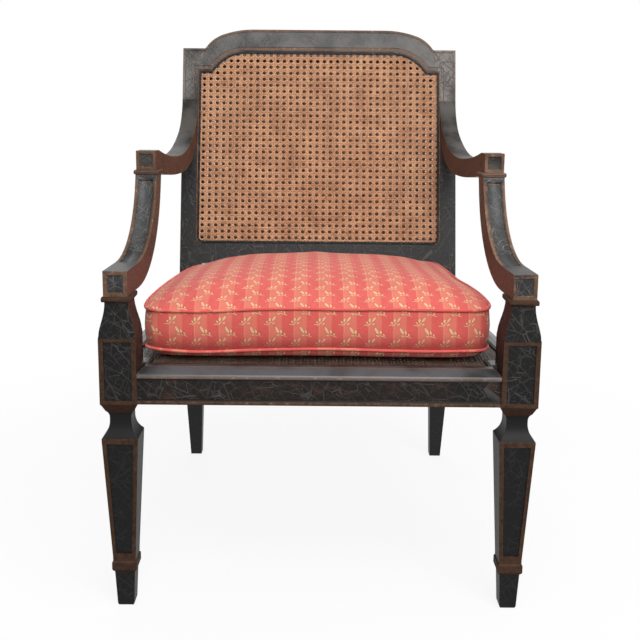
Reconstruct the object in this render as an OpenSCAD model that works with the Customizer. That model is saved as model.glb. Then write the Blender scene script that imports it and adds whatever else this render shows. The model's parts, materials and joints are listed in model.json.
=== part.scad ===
// Neoclassical cane armchair: square panelled front legs, scrolled arm supports, swept arms,
// a raked double-caned back, a caned seat frame and a loose box cushion.
// X runs to the sitter's left hand side of the drawing's right, Y runs to the back and Z is up.
// The origin lies on the floor under the middle of the chair's overall box.

/* [Overall] */
// Width over the front knee blocks
chair_w = 634; // [600:1:680]
// Height of the crest rail's top edge
chair_h = 900; // [870:1:940]
// Width over the back posts
back_w = 556; // [530:1:580]
// Depth from the knee blocks' front to the back's face, at deck height
seat_d = 558; // [530:1:590]
// Height of the seat deck
deck_z = 377; // [360:1:400]
// Lean of the back from upright, in degrees
rake = 13.5; // [9:0.5:16]

/* [Front legs] */
// Knee block width
block_w = 54; // [48:1:60]
// Knee block depth
block_d = 57; // [50:1:64]
// Knee block height
block_h = 99; // [88:1:106]
// Leg width under the flare
leg_top_w = 53; // [47:1:56]
// Leg width above the ankle ring
leg_low_w = 34; // [30:1:38]
// Neck width between leg and knee block
neck_w = 31.5; // [28:0.5:36]
// Height of the neck's two coves together
neck_h = 53; // [47:1:60]
// Foot height under the ankle ring
foot_h = 59; // [48:1:70]
// Foot width at the floor
foot_w = 25; // [21:1:28]
// Ankle ring height
ring_h = 17; // [12:1:22]
// Ankle ring width
ring_w = 37; // [36:1:42]
// Height of the shoulder above the knee block
shoulder_h = 52; // [45:1:60]

/* [Arm supports] */
// Support width
support_w = 35; // [31:1:38]
// Support depth at the foot
support_d = 49; // [44:1:52]
// Support height from collar to arm cap
support_h = 157; // [150:1:170]
// Height of the block at the support's foot
support_block_h = 37.5; // [32:0.5:42]
// Level run of the support's top before it sweeps up
front_run = 78; // [68:1:84]
// Radius of the sweep's front
front_r = 146; // [138:1:150]
// Radius of the sweep's back
back_r = 177; // [170:1:182]
// Thickness of the collars under and over the support
collar_h = 7; // [5:0.5:9]
// Overhang of the collars
collar_lip = 2.5; // [1.5:0.5:3]

/* [Arms] */
// Arm width
arm_w = 32; // [28:1:35]
// Arm height at its front block
arm_h = 31; // [27:1:36]
// Length of the arm's front block
arm_block_l = 30; // [26:1:34]
// Radius of the dip behind the block
dip_r = 910; // [860:10:960]
// Radius of the lower part of the rise
rise_r = 350; // [320:5:370]
// Radius of the underside's dip behind the collar
under_dip_r = 1250; // [1150:10:1350]
// Radius of the underside's first rise
under_rise_r = 450; // [420:5:480]
// Radius of the underside's turn up to the post
under_turn_r = 205; // [190:1:220]

/* [Back] */
// Thickness of the back frame
back_t = 30; // [28:1:34]
// Width of the caned opening
open_w = 481; // [470:1:490]
// Height of the crest rail's face at its middle
crest_face = 49.5; // [44:0.5:56]
// Drop from the crest's top to the ears
crest_drop = 40; // [36:1:43]
// Height of the caned opening's bottom above the deck, along the lean
open_bottom = 104; // [95:1:115]
// Face height of the bottom rail
bottom_rail_h = 45; // [38:1:52]
// Depth of the posts at the seat
post_seat_d = 45; // [40:1:50]
// Depth of the rear legs at the floor
rear_foot_d = 25; // [22:1:30]
// Width of the rear legs at the floor
rear_foot_w = 22.5; // [20:0.5:27]
// How far the rear feet stand behind the seat's back line
rear_splay = 88; // [70:1:95]

/* [Seat] */
// Height of the seat rails
rail_h = 38; // [34:1:44]
// Thickness of the seat rails
rail_t = 28; // [24:1:31]
// Set back of the rails' faces behind the blocks
rail_inset = 4; // [3:0.5:6]
// Thickness of the seat frame on the rails
frame_t = 15; // [14:0.5:18]
// Width of the seat frame's front member up to the cane
frame_front_w = 34; // [31:1:40]
// Margin of frame around the knee blocks
block_margin = 14; // [12:1:16]

/* [Cane] */
// Thickness of the cane sheet
cane_t = 1.2; // [0.8:0.1:1.6]
// Depth of the rebate that holds cane and spline
rebate_d = 4.5; // [4:0.1:5]
// Width of the rebate's lip behind the cane
lip = 4.5; // [3.5:0.5:6]
// Width of the spline around the cane
spline_w = 4; // [3:0.5:5]
// Pitch of the net's gaps across
gap_pitch_x = 27.2; // [26:0.2:34]
// Pitch of the net's gaps along
gap_pitch_z = 25; // [24:0.5:32]
// Side of one gap in the net
gap_w = 13; // [10:0.5:16]

/* [Cushion] */
// Width of the cushion's cover at its front
cushion_w = 528; // [500:1:529]
// Width of the cushion's cover at its back
cushion_back_w = 474; // [462:1:476]
// Distance from the knee blocks' front to the cushion's front
cushion_y0 = 52; // [46:1:64]
// Length of the cushion from front to back
cushion_l = 500; // [480:1:502]
// How far the loose cushion lies to the left
cushion_shift = 3.2; // [0:0.2:3.4]
// Height of the bottom seam above the deck
seam_low = 16; // [12:1:19]
// Height of the boxing between the seams
boxing_h = 63; // [50:1:75]
// Height of the crown above the top seam
crown_h = 38; // [28:1:42]
// Diameter of the welts
welt_d = 4.6; // [3.6:0.2:5]
// Thickness of the cover's cloth
cover_t = 1.6; // [1:0.2:2.4]

/* [Joinery] */
// Diameter of the dowels
dowel_d = 8; // [6:1:10]
// Length of a rail dowel
dowel_l = 50; // [40:1:54]
// Clearance around a dowel or screw
fit = 0.05; // [0.02:0.01:0.1]
// Clearance of a soft or laid piece from what it rests on
rest_gap = 0.3; // [0.2:0.05:0.5]
// Leg length of the corner blocks' triangle
corner_block_l = 76; // [70:1:90]
// Screw shank diameter
screw_d = 4; // [3.5:0.5:5]

/* [Hidden] */

$fn = 40;

// Colours
lacquer = [0.10, 0.10, 0.10];
worn_brown = [0.36, 0.22, 0.17];
cane_tan = [0.75, 0.52, 0.33];
seat_cane_brown = [0.25, 0.18, 0.13];
beech = [0.78, 0.62, 0.44];
steel = [0.6, 0.6, 0.6];
coral = [0.80, 0.33, 0.29];
wadding = [0.93, 0.91, 0.85];

// Places worked out from the driving sizes
leg_cx = (chair_w - block_w) / 2;
leg_cy = block_d / 2;
rail_half = chair_w / 2 - block_w;
frame_z = deck_z - frame_t;
rail_z = frame_z - rail_h;
block_top = rail_z + block_h;
shoulder_top = block_top + shoulder_h;
support_z = shoulder_top + collar_h;
cap_z = support_z + support_h;
arm_z = cap_z + collar_h;
arm_top = arm_z + arm_h;
post_in = open_w / 2 - lip;
crest_s = (chair_h - deck_z) / cos(rake);
open_top = crest_s - crest_face;
ear_s = crest_s - crest_drop;
post_w = back_w / 2 - post_in;
chair_d = seat_d + crest_s * sin(rake) + back_t * cos(rake);
groove = 1.5;
bead_w = 6;
panel_d = 2;

// Where the arm meets the post, and the plan angle that brings it there
joint_z = arm_top + 50;
joint_y = seat_d + (joint_z - deck_z) * tan(rake);
plan_lean = atan((leg_cx + arm_w / 2 - back_w / 2) / (joint_y - leg_cy));

// Points of an arc that starts at p, turns upwards with radius r from slope a0 to slope a1
function sweep_up(p, r, a0, a1, n) = [for (i = [0:n]) let (a = a0 + (a1 - a0) * i / n)
    [p[0] + r * (sin(a) - sin(a0)), p[1] + r * (cos(a0) - cos(a))]];
// Points of an arc about c, by compass angle from straight up
function arc_about(c, r, a0, a1, n) = [for (i = [0:n]) let (a = a0 + (a1 - a0) * i / n)
    [c[0] + r * sin(a), c[1] + r * cos(a)]];
function last(list) = list[len(list) - 1];
function reverse(list) = [for (i = [len(list) - 1:-1:0]) list[i]];
function flip_x(list) = [for (p = list) [-p[0], p[1]]];
function both_sides(right) = concat(right, reverse(flip_x(right)));
function unit(v) = v / norm(v);
function turn(a) = a > 180 ? a - 360 : (a < -180 ? a + 360 : a);
// Points of a fillet of radius r at corner b between a and c
function fillet(a, b, c, r, n = 6) =
    let (u = unit(a - b), v = unit(c - b), half = acos(u * v) / 2,
        mid = b + unit(u + v) * r / sin(half),
        p = b + u * r / tan(half) - mid, q = b + v * r / tan(half) - mid,
        a0 = atan2(p[1], p[0]), da = turn(atan2(q[1], q[0]) - a0))
    [for (i = [0:n]) mid + r * [cos(a0 + da * i / n), sin(a0 + da * i / n)]];

// Stands a drawing of (y, z) across the chair, w wide
module across(w) rotate([90, 0, 90]) linear_extrude(w, center = true) children();
// Stands a drawing of (x, z) along the chair, from y0 to y1
module along(y0, y1) translate([0, y1, 0]) rotate([90, 0, 0]) linear_extrude(y1 - y0) children();
module lay(z0, z1) translate([0, 0, z0]) linear_extrude(z1 - z0) children();
// Moves the drawing's front to the overall box's front
module placed() translate([0, -chair_d / 2, 0]) children();
module mirrored(left) mirror([left ? 1 : 0, 0, 0]) children();
// The raked back: y is the depth behind its face, z runs up its face from deck height
module in_back() translate([0, seat_d, deck_z]) rotate([-rake, 0, 0]) children();
// The arm line: turned in plan about the middle of the front leg
module in_arm_line() translate([leg_cx, leg_cy, 0]) rotate([0, 0, plan_lean])
    translate([0, -leg_cy, 0]) children();

/* Front legs */
// Half width against height from foot to collar, for a block of the given half width
function leg_half(block, top) = let (low = leg_low_w / 2, foot = foot_w / 2, ring = ring_w / 2,
        z1 = foot_h + ring_h, z2 = rail_z - neck_h, neck = neck_w / 2, wide = leg_top_w / 2,
        flare_r = (wide - 1.5 - neck) / (1 - cos(42)), cove_r = 14)
    concat([[foot - 4, 0], [foot - 1.4, 1.2], [foot, 4.2], [foot + 2.5, foot_h - 1],
        [ring - 2, foot_h], [ring, foot_h + 3], [ring, z1 - 3], [ring - 2, z1], [low, z1 + 1], [low, z1 + 6], [wide, z2 - 3],
        [wide, z2], [wide - 1.5, z2 + 1.5]],
        [for (i = [1:8]) let (a = 42 * (1 - i / 8))
            [neck + flare_r * (1 - cos(a)), z2 + 1.5 + flare_r * (sin(42) - sin(a))]],
        [for (i = [0:5]) let (a = 50 * i / 5)
            [neck + cove_r * (1 - cos(a)), rail_z - 12 - cove_r * (sin(50) - sin(a))]],
        [[block - 1.5, rail_z - 1.5], [block, rail_z], [block, block_top - 1],
            [block - 0.7, block_top + 2]],
        [for (i = [1:8]) let (t = i / 8)
            [top + (block - 0.7 - top) * (1 + cos(180 * pow(t, 0.85))) / 2,
                block_top + 2 + (shoulder_h - 2) * t]],
        [[top + 3.4, shoulder_top], [top + 4.2, shoulder_top + 2],
            [top + 4.2, support_z - 2], [top + 3.4, support_z]]);
function full_width(half) = concat(half, reverse(flip_x(half)));
// A tapered panel on the leg and a square one on the block, drawn on one face
module leg_panels(face_w, edge) {
    z0 = foot_h + ring_h + 12;
    z1 = rail_z - neck_h - 8;
    low = leg_low_w / 2 - edge + 0.6;
    high = leg_top_w / 2 - edge - 0.8;
    polygon([[-low, z0], [low, z0], [high, z1], [-high, z1]]);
    translate([-face_w / 2 + edge + 1, rail_z + edge])
        square([face_w - 2 * edge - 2, block_h - 2 * edge]);
}
module leg_dowel_holes() {
    for (z = rail_dowel_z) {
        translate([rail_half, rail_mid_y, z]) dowel(dowel_l, fit, [0, 90, 0]);
        translate(side_dowel_at(z, 0)) dowel(dowel_l, fit, [-90, 0, side_turn]);
    }
    translate([leg_cx, leg_cy, support_z]) dowel(dowel_l, fit, [0, 0, 0]);
}
module front_leg(left) color(lacquer) placed() mirrored(left) difference() {
    translate([leg_cx, leg_cy, 0]) difference() {
        intersection() {
            along(-block_d, block_d) polygon(full_width(leg_half(block_w / 2, support_w / 2 - 0.6)));
            across(2 * block_w) polygon(full_width(leg_half(block_d / 2, support_d / 2 - 0.6)));
        }
        // Front panels: the leg's face tapers, so its panel is sunk along the taper
        panel_cut(block_d / 2) leg_panels(block_w, bead_w);
        rotate([0, 0, 90]) panel_cut(block_w / 2) leg_panels(block_d, bead_w);
    }
    leg_dowel_holes();
}
// Sinks the drawn panels into the front face, following the leg's taper below the block
module panel_cut(block_half) {
    taper = atan((leg_top_w - leg_low_w) / 2 / (rail_z - neck_h - foot_h - ring_h - 9));
    intersection() {
        along(-2 * block_d, 0) children();
        across(2 * block_w) polygon([
            [-2 * block_half, rail_z], [-block_half + panel_d, rail_z],
            [-block_half + panel_d, block_top], [-2 * block_half, block_top]]);
    }
    intersection() {
        along(-2 * block_d, 0) children();
        translate([0, -leg_low_w / 2 + panel_d, foot_h + ring_h + 6])
            rotate([taper, 0, 0]) translate([-block_w, -block_d, 0]) cube([2 * block_w, block_d,
                rail_z - neck_h - foot_h - ring_h - 8]);
    }
}

/* Arm supports and arms */
support_q0 = leg_cy - support_d / 2;
support_top_z = cap_z;
sweep_a = 75;
support_front = sweep_up([front_run, support_z + support_block_h], front_r, 0, sweep_a, 14);
support_back = sweep_up([front_run + 2, support_z], back_r, 0, sweep_a, 14);
// Carries a curve's end straight on to height z
function run_to(p, z) = [p[0] + (z - p[1]) / tan(sweep_a), z];
cap_q0 = run_to(last(support_front), cap_z)[0];
cap_q1 = run_to(last(support_back), cap_z)[0];
cap_mid = (cap_q0 + cap_q1) / 2;
module support_outline() polygon(concat(
    [[support_q0, support_z], [support_q0, support_z + support_block_h]],
    support_front, [[cap_q0, cap_z], [cap_q1, cap_z]], reverse(support_back)));
// The sunk band that follows the support's swept front
module support_band() polygon(concat(
    [for (p = support_front) p + [-3, 3]], [[cap_q0 - 3, cap_z - 8], [cap_q0 + panel_d, cap_z - 8]],
    reverse([for (i = [0:len(support_front) - 1]) let (a = sweep_a * i / (len(support_front) - 1))
        support_front[i] + panel_d * [sin(a), -cos(a)]])));
module arm_support(left) color(lacquer) placed() mirrored(left) difference() {
    in_arm_line() {
        difference() {
            across(support_w) support_outline();
            across(support_w - 2 * bead_w) support_band();
            translate([-support_w / 2 + bead_w, support_q0 - 1, support_z + bead_w])
                cube([support_w - 2 * bead_w, 1 + panel_d, support_block_h - 2 * bead_w]);
        }
        difference() {
            intersection() {
                along(cap_q0 - collar_lip, cap_q1 + collar_lip)
                    collar_outline(support_w / 2 + collar_lip);
                translate([0, cap_mid, 0]) across(support_w + 2 * collar_lip)
                    collar_outline((cap_q1 - cap_q0) / 2 + collar_lip);
            }
        }
    }
    support_dowels(fit);
}
// A collar's section, with eased edges
module collar_outline(half) polygon(full_width([[half - 1, cap_z], [half, cap_z + 2],
    [half, arm_z - 2], [half - 1, arm_z]]));
module support_dowels(play) {
    translate([leg_cx, leg_cy, support_z]) dowel(dowel_l, play, [0, 0, 0]);
    in_arm_line() translate([0, cap_mid, arm_z]) dowel(arm_h + 10, play, [0, 0, 0]);
}

dip_a = 12;
rise_a = 26;
arm_dip = sweep_up([cap_q0 + arm_block_l, arm_top], dip_r, -dip_a, 0, 8);
arm_rise = sweep_up(last(arm_dip), rise_r, 0, rise_a, 8);
// Distance from the back's face, in the drawing of the arm
function to_back(p) = (seat_d + (p[1] - deck_z) * tan(rake) - p[0]) * cos(rake);
arm_edge = 1.5;
arm_blend_r = (to_back(last(arm_rise)) - arm_edge) / (1 - cos(90 - rake - rise_a));
arm_blend = sweep_up(last(arm_rise), arm_blend_r, rise_a, 90 - rake, 12);
arm_under1 = sweep_up([cap_q1 + collar_lip, cap_z], under_dip_r, -8.8, 0, 6);
arm_under2 = sweep_up(last(arm_under1), under_rise_r, 0, 11, 5);
arm_under3 = sweep_up(last(arm_under2), under_turn_r, 11, 50, 8);
module arm_outline() polygon(concat(
    [[cap_q0, arm_z], [cap_q0, arm_top]], arm_dip, arm_rise, arm_blend,
    [last(arm_blend) + 40 * [cos(rake), -sin(rake)], last(arm_under3) + [40, 0]],
    reverse(arm_under3), reverse(arm_under2), reverse(arm_under1),
    [[cap_q1 + collar_lip, arm_z]]));
module arm(left) color(worn_brown) placed() mirrored(left) difference() {
    in_arm_line() difference() {
        across(arm_w) arm_outline();
        translate([-arm_w / 2 + bead_w - 1, cap_q0 - 1, arm_z + bead_w - 1])
            cube([arm_w - 2 * bead_w + 2, 1 + panel_d, arm_h - 2 * bead_w + 2]);
    }
    in_back() lay_behind();
    support_dowels(fit);
    arm_post_dowel(fit);
}
// Everything behind the back's face, as a cutter
module lay_behind() translate([-chair_w, 0, 0]) cube([2 * chair_w, chair_h / 3, 2 * chair_h / 3]);
module arm_post_dowel(play) in_back()
    translate([(back_w - arm_w) / 2, 0, (arm_top - deck_z) / cos(rake) + 8]) dowel(44, play, [90, 0, 0]);

/* Back */
// Outline of the caned opening's right half, from its top to its bottom, grown by d
open_a = 50;
open_r = 76;
open_flat = open_w / 2 - 22 - open_r * sin(open_a)
    - (crest_drop - open_r * (1 - cos(open_a))) / tan(open_a);
shoulder_s = open_top - crest_drop;
corner_r = 8;
function open_arc(d) = arc_about([open_flat, open_top - open_r], open_r + d, 0, open_a, 10);
function open_shoulder(d) = let (p = last(open_arc(d)), run = (p[1] - shoulder_s - d) / tan(open_a))
    [p[0] + run, shoulder_s + d];
function open_top_half(d) = concat(open_arc(d), [open_shoulder(d), [open_w / 2 + d, shoulder_s + d]]);
function open_half(d) = concat(open_top_half(d),
    arc_about([open_w / 2 - corner_r, open_bottom + corner_r], corner_r + d, 90, 180, 5));
module opening(d) polygon(both_sides(open_half(d)));
// Crest's outer edge, right half from the middle outwards, drawn in by d
crest_r = 184;
crest_a1 = 20;
crest_a2 = 56;
ear_r = 6;
crest_end_r = (crest_drop - crest_r * (1 - cos(crest_a1)) - ear_r * (1 - cos(crest_a2)))
    / (cos(crest_a1) - cos(crest_a2));
crest_flat = post_in - crest_r * sin(crest_a1) - crest_end_r * (sin(crest_a2) - sin(crest_a1))
    - ear_r * sin(crest_a2);
crest_c1 = [crest_flat, crest_s - crest_r];
crest_c2 = crest_c1 + (crest_r - crest_end_r) * [sin(crest_a1), cos(crest_a1)];
crest_c3 = crest_c2 + (crest_end_r + ear_r) * [sin(crest_a2), cos(crest_a2)];
function crest_half(d) = concat(arc_about(crest_c1, crest_r - d, 0, crest_a1, 5),
    arc_about(crest_c2, crest_end_r - d, crest_a1 + 4, crest_a2, 7),
    arc_about(crest_c3, -ear_r - d, crest_a2, 0, 4));
module outer_edge(d, foot) polygon(both_sides(concat(crest_half(d),
    [[back_w / 2 - d, ear_s - d], [back_w / 2 - d, foot]])));
// Beads around the caned opening and along the outer edge, above the arms only
bead_foot = last(arm_blend)[1] / cos(rake) - deck_z / cos(rake) - 6;
module back_grooves() {
    along(-1, groove) difference() {
        opening(spline_w + 2);
        opening(spline_w);
    }
    along(-1, groove) difference() {
        opening(spline_w + 2 + bead_w + 1.6);
        opening(spline_w + 2 + bead_w);
        translate([-back_w, bead_foot - 2 * chair_h]) square([2 * back_w, 2 * chair_h]);
    }
    along(-1, groove) difference() {
        outer_edge(4.5, bead_foot);
        outer_edge(6.2, bead_foot - 1);
    }
}
module back_rebates() {
    along(-1, rebate_d) opening(spline_w);
    along(back_t - rebate_d, back_t + 1) opening(spline_w);
}
// Dowels of the crest and the bottom rail, at places along the lean
back_dowel_s = [(ear_s + shoulder_s) / 2 - 13, (ear_s + shoulder_s) / 2 + 13,
    open_bottom - bottom_rail_h / 2 - 8, open_bottom - bottom_rail_h / 2 + 8];
module back_dowels_at(play) for (side = [-1, 1], s = back_dowel_s)
    translate([side * post_in, back_t / 2, s]) dowel(dowel_l, play, [0, 90, 0]);

// The post's side: raked above the seat, splayed below it, with an eased knee between
rear_foot_y = seat_d + rear_splay;
knee_z = deck_z + 18;
face_at = function (z) seat_d + (z - deck_z) * tan(rake);
rear_at = function (z) face_at(z) + back_t / cos(rake);
// Where the raked rear face meets the line that comes up from the foot's heel
heel_lean = (rear_foot_y + rear_foot_d - face_at(knee_z) - post_seat_d) / knee_z;
heel_z = knee_z + (post_seat_d - back_t / cos(rake)) / (tan(rake) + heel_lean);
post_top = [face_at(deck_z) + ear_s * sin(rake), deck_z + ear_s * cos(rake)];
module post_side() polygon(concat(
    [[rear_foot_y, 0]],
    fillet([rear_foot_y, 0], [face_at(knee_z), knee_z], post_top, 150, 5),
    [post_top, post_top + back_t * [cos(rake), -sin(rake)]],
    fillet(post_top + back_t * [cos(rake), -sin(rake)], [rear_at(heel_z), heel_z],
        [rear_foot_y + rear_foot_d, 0], 200, 5),
    [[rear_foot_y + rear_foot_d, 0]]));
// Width of the post narrows to the foot, more and more quickly
function post_narrow(t) = (post_w - rear_foot_w) * pow(1 - t, 1.8);
module post_front() polygon(concat(
    [for (i = [0:8]) let (t = i / 8) [post_in + 0.6 * post_narrow(t), t * rail_z]],
    [[post_in, chair_h], [back_w / 2, chair_h]],
    [for (i = [8:-1:0]) let (t = i / 8) [back_w / 2 - 0.4 * post_narrow(t), t * rail_z]]));
module back_post(left) color(lacquer) placed() mirrored(left) difference() {
    intersection() {
        along(seat_d - 60, chair_d + 60) post_front();
        translate([post_in, 0, 0]) across(2 * post_w + 2) post_side();
    }
    in_back() {
        back_rebates();
        back_grooves();
        back_dowels_at(fit);
    }
    arm_post_dowel(fit);
    for (z = rail_dowel_z) translate(side_dowel_at(z, 1)) dowel(dowel_l, fit, [-90, 0, side_turn]);
    rear_rail_dowel(fit);
}
module crest_rail() color(lacquer) placed() in_back() difference() {
    along(0, back_t) polygon(concat(crest_half(0), reverse(open_top_half(-lip)),
        flip_x(open_top_half(-lip)), reverse(flip_x(crest_half(0)))));
    back_rebates();
    back_grooves();
    back_dowels_at(fit);
}
module back_bottom_rail() color(lacquer) placed() in_back() difference() {
    translate([-post_in, 0, open_bottom - bottom_rail_h])
        cube([2 * post_in, back_t, bottom_rail_h + lip]);
    back_rebates();
    back_grooves();
    back_dowels_at(fit);
}

/* Cane of the back */
module back_cane(depth) color(cane_tan) placed() in_back() along(depth, depth + cane_t)
    difference() {
        opening(spline_w - 0.3);
        intersection() {
            back_gaps();
            opening(-6);
        }
    }
back_cols = floor((open_w - 16) / gap_pitch_x);
back_rows = floor((open_top - open_bottom - 12) / gap_pitch_z);
module back_gaps() for (i = [0:back_cols - 1], j = [0:back_rows - 1])
    translate([(i - (back_cols - 1) / 2) * gap_pitch_x,
        (open_top + open_bottom) / 2 + (j - (back_rows - 1) / 2) * gap_pitch_z])
        square(gap_w, center = true);
module back_spline(t0, t1) color(lacquer) placed() in_back() along(t0, t1) difference() {
    opening(spline_w - 0.1);
    opening(0);
}

/* Seat rails */
rail_mid_y = rail_inset + rail_t / 2;
dowel_step = rail_h / 2 - dowel_d / 2 - 4;
rail_dowel_z = [rail_z + rail_h / 2 - dowel_step, rail_z + rail_h / 2 + dowel_step];
// The rear rail's dowel passes between the side rail's two in the post
rear_dowel_z = rail_z + rail_h / 2;
// Side rails run from the knee block's back to the post, flush with both but for the inset
side_x0 = chair_w / 2 - rail_inset;
side_x1 = back_w / 2 - rail_inset;
side_y1 = face_at(rail_z + rail_h / 2) + 6;
side_turn = atan((side_x0 - side_x1) / (side_y1 - block_d));
function side_line(y, depth) = chair_w / 2 - depth / cos(side_turn) - (y - block_d) * tan(side_turn);
function side_out(y) = side_line(y, rail_inset);
function side_dowel_at(z, end) = let (y = end == 0 ? block_d : post_face_y)
    [side_out(y) - rail_t / 2, y, z];
// The post's face at rail height, ahead of its splayed foot
post_face_y = face_at(knee_z) + 1;
rear_rail_y = face_at(knee_z) + 8;
// Rail section with its bottom bead, face towards -y
function rail_section() = [[rail_inset, rail_z + rail_h], [rail_inset, rail_z + 8],
    [rail_inset - 2, rail_z + 7.4], [rail_inset - 3, rail_z + 5.6],
    [rail_inset - 3, rail_z + 2.4], [rail_inset - 2, rail_z], [rail_inset + rail_t, rail_z],
    [rail_inset + rail_t, rail_z + rail_h]];
module front_seat_rail() color(lacquer) placed() difference() {
    across(2 * rail_half) polygon(rail_section());
    for (side = [-1, 1], z = rail_dowel_z)
        translate([side * rail_half, rail_mid_y, z]) dowel(dowel_l, fit, [0, 90, 0]);
    for (side = [0, 1]) mirrored(side == 1) corner_screw_holes(0);
}
// Post faces as cutters, so that the side rails butt against the curved knee
module post_solid() intersection() {
    along(seat_d - 60, chair_d + 60) post_front();
    translate([post_in, 0, 0]) across(2 * post_w + 2) post_side();
}
module side_rail(left) color(lacquer) placed() mirrored(left) difference() {
    intersection() {
        translate([chair_w / 2, block_d, 0]) rotate([0, 0, 90 + side_turn])
            rotate([90, 0, 90]) linear_extrude(2 * seat_d, center = true)
                polygon(rail_section());
        translate([0, block_d, rail_z]) cube([chair_w, seat_d, rail_h]);
    }
    post_solid();
    behind_posts();
    for (z = rail_dowel_z) {
        translate(side_dowel_at(z, 0)) dowel(dowel_l, fit, [-90, 0, side_turn]);
        translate(side_dowel_at(z, 1)) dowel(dowel_l, fit, [-90, 0, side_turn]);
    }
    corner_screw_holes(0);
    corner_screw_holes(1);
}
module behind_posts() translate([0, post_face_y + 20, 0]) cube([chair_w, seat_d, chair_h]);
module rear_seat_rail() color(lacquer) placed() difference() {
    translate([-post_in, rear_rail_y, rail_z]) cube([2 * post_in, rail_t, rail_h]);
    for (side = [0, 1]) mirrored(side == 1) {
        rear_rail_dowel(fit);
        corner_screw_holes(1);
    }
}

/* Seat frame */
seat_open_y0 = rail_inset - 2 + frame_front_w;
seat_open_x0 = rail_half - block_margin;
seat_step_y = block_d + block_margin;
seat_open_y1 = seat_d - 8;
function seat_side_x(y) = side_out(y) - rail_t - 2;
// The seat's caned opening, right half from front to rear, grown by d
function seat_half(d) = [[seat_open_x0 + d, seat_open_y0 - d], [seat_open_x0 + d, seat_step_y - d],
    [seat_side_x(seat_step_y - d) + d, seat_step_y - d],
    [seat_side_x(seat_open_y1 + d) + d, seat_open_y1 + d]];
module seat_opening(d) polygon(both_sides(seat_half(d)));
module seat_rebate() lay(deck_z - rebate_d, deck_z + 1) seat_opening(spline_w);
// Front member's section: a bead, then a slope up to the flat deck
slope_w = 16;
function frame_section(back) = [[rail_inset - 2, frame_z], [rail_inset - 3, frame_z + 2],
    [rail_inset - 3, frame_z + 5], [rail_inset - 2, frame_z + 7], [rail_inset - 1, frame_z + 7.4],
    [rail_inset - 1 + slope_w, deck_z - 0.6], [rail_inset + slope_w, deck_z], [back, deck_z],
    [back, frame_z]];
frame_front_y1 = seat_open_y0 + lip;
module seat_frame_front() color(lacquer) placed() difference() {
    intersection() {
        across(2 * rail_half) polygon(frame_section(frame_front_y1));
        along(-10, frame_front_y1 + 1) polygon(full_width([[rail_half, frame_z],
            [rail_half, frame_z + 8], [rail_half - 9, deck_z], [rail_half - 12, deck_z + 1]]));
    }
    seat_rebate();
}
seat_rear_y0 = seat_open_y1 - lip;
module seat_frame_side(left) color(lacquer) placed() mirrored(left) difference() {
    intersection() {
        lay(frame_z, deck_z) polygon([[rail_half, frame_front_y1],
            [seat_open_x0 - lip, frame_front_y1], [seat_open_x0 - lip, seat_step_y + lip],
            [seat_side_x(seat_step_y + lip) - lip, seat_step_y + lip],
            [seat_side_x(seat_rear_y0) - lip, seat_rear_y0], [post_in, seat_rear_y0],
            [post_in, post_face_y + 12], [chair_w, post_face_y + 12], [chair_w, block_d],
            [rail_half, block_d]]);
        translate([chair_w / 2, block_d, 0]) rotate([0, 0, 90 + side_turn])
            rotate([90, 0, 90]) linear_extrude(2 * seat_d, center = true)
                polygon(frame_section(chair_w / 3));
        along(frame_front_y1 - 1, seat_d + 60) polygon([[0, frame_z], [chair_w, frame_z],
            [chair_w, deck_z + 1], [0, deck_z + 1]]);
    }
    seat_rebate();
    post_solid();
}
module seat_frame_rear() color(lacquer) placed() difference() {
    translate([-post_in, seat_rear_y0, frame_z])
        cube([2 * post_in, rear_rail_y + rail_t - seat_rear_y0, frame_t]);
    seat_rebate();
}

/* Cane of the seat */
seat_cane_z = deck_z - rebate_d;
seat_cols = 15;
seat_rows = 15;
seat_pitch = (seat_open_y1 - seat_step_y) / (seat_rows + 0.6);
module seat_gaps() for (i = [0:seat_cols - 1], j = [0:seat_rows - 1])
    translate([(i - (seat_cols - 1) / 2) * seat_pitch,
        (seat_open_y1 + seat_open_y0) / 2 + (j - (seat_rows - 1) / 2) * seat_pitch])
        square(gap_w, center = true);
module seat_cane() color(seat_cane_brown) placed() lay(seat_cane_z, seat_cane_z + cane_t)
    difference() {
        seat_opening(spline_w - 0.3);
        intersection() {
            seat_gaps();
            seat_opening(-6);
        }
    }
module seat_cane_spline() color(lacquer) placed() lay(seat_cane_z + cane_t, deck_z - 0.5)
    difference() {
        seat_opening(spline_w - 0.1);
        seat_opening(0);
    }

/* Joinery */
// A dowel centred on its joint, pointing along the turned z axis
module dowel(l, play, way) rotate([0, 0, way[2]]) rotate([way[0], way[1], 0])
    cylinder(d = dowel_d + 2 * play, h = l + 2 * play, center = true);
module rail_dowels() color(beech) placed() for (side = [0, 1]) mirrored(side == 1) {
    rear_rail_dowel(0);
    for (z = rail_dowel_z) {
        translate([rail_half, rail_mid_y, z]) dowel(dowel_l, 0, [0, 90, 0]);
        translate(side_dowel_at(z, 0)) dowel(dowel_l, 0, [-90, 0, side_turn]);
        translate(side_dowel_at(z, 1)) dowel(dowel_l, 0, [-90, 0, side_turn]);
    }
}
module rear_rail_dowel(play) translate([post_in, rear_rail_y + rail_t / 2, rear_dowel_z])
    dowel(dowel_l, play, [0, 90, 0]);
module back_dowels() color(beech) placed() in_back() back_dowels_at(0);
module arm_dowels() color(beech) placed() for (side = [0, 1]) mirrored(side == 1) {
    support_dowels(0);
    arm_post_dowel(0);
}

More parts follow.
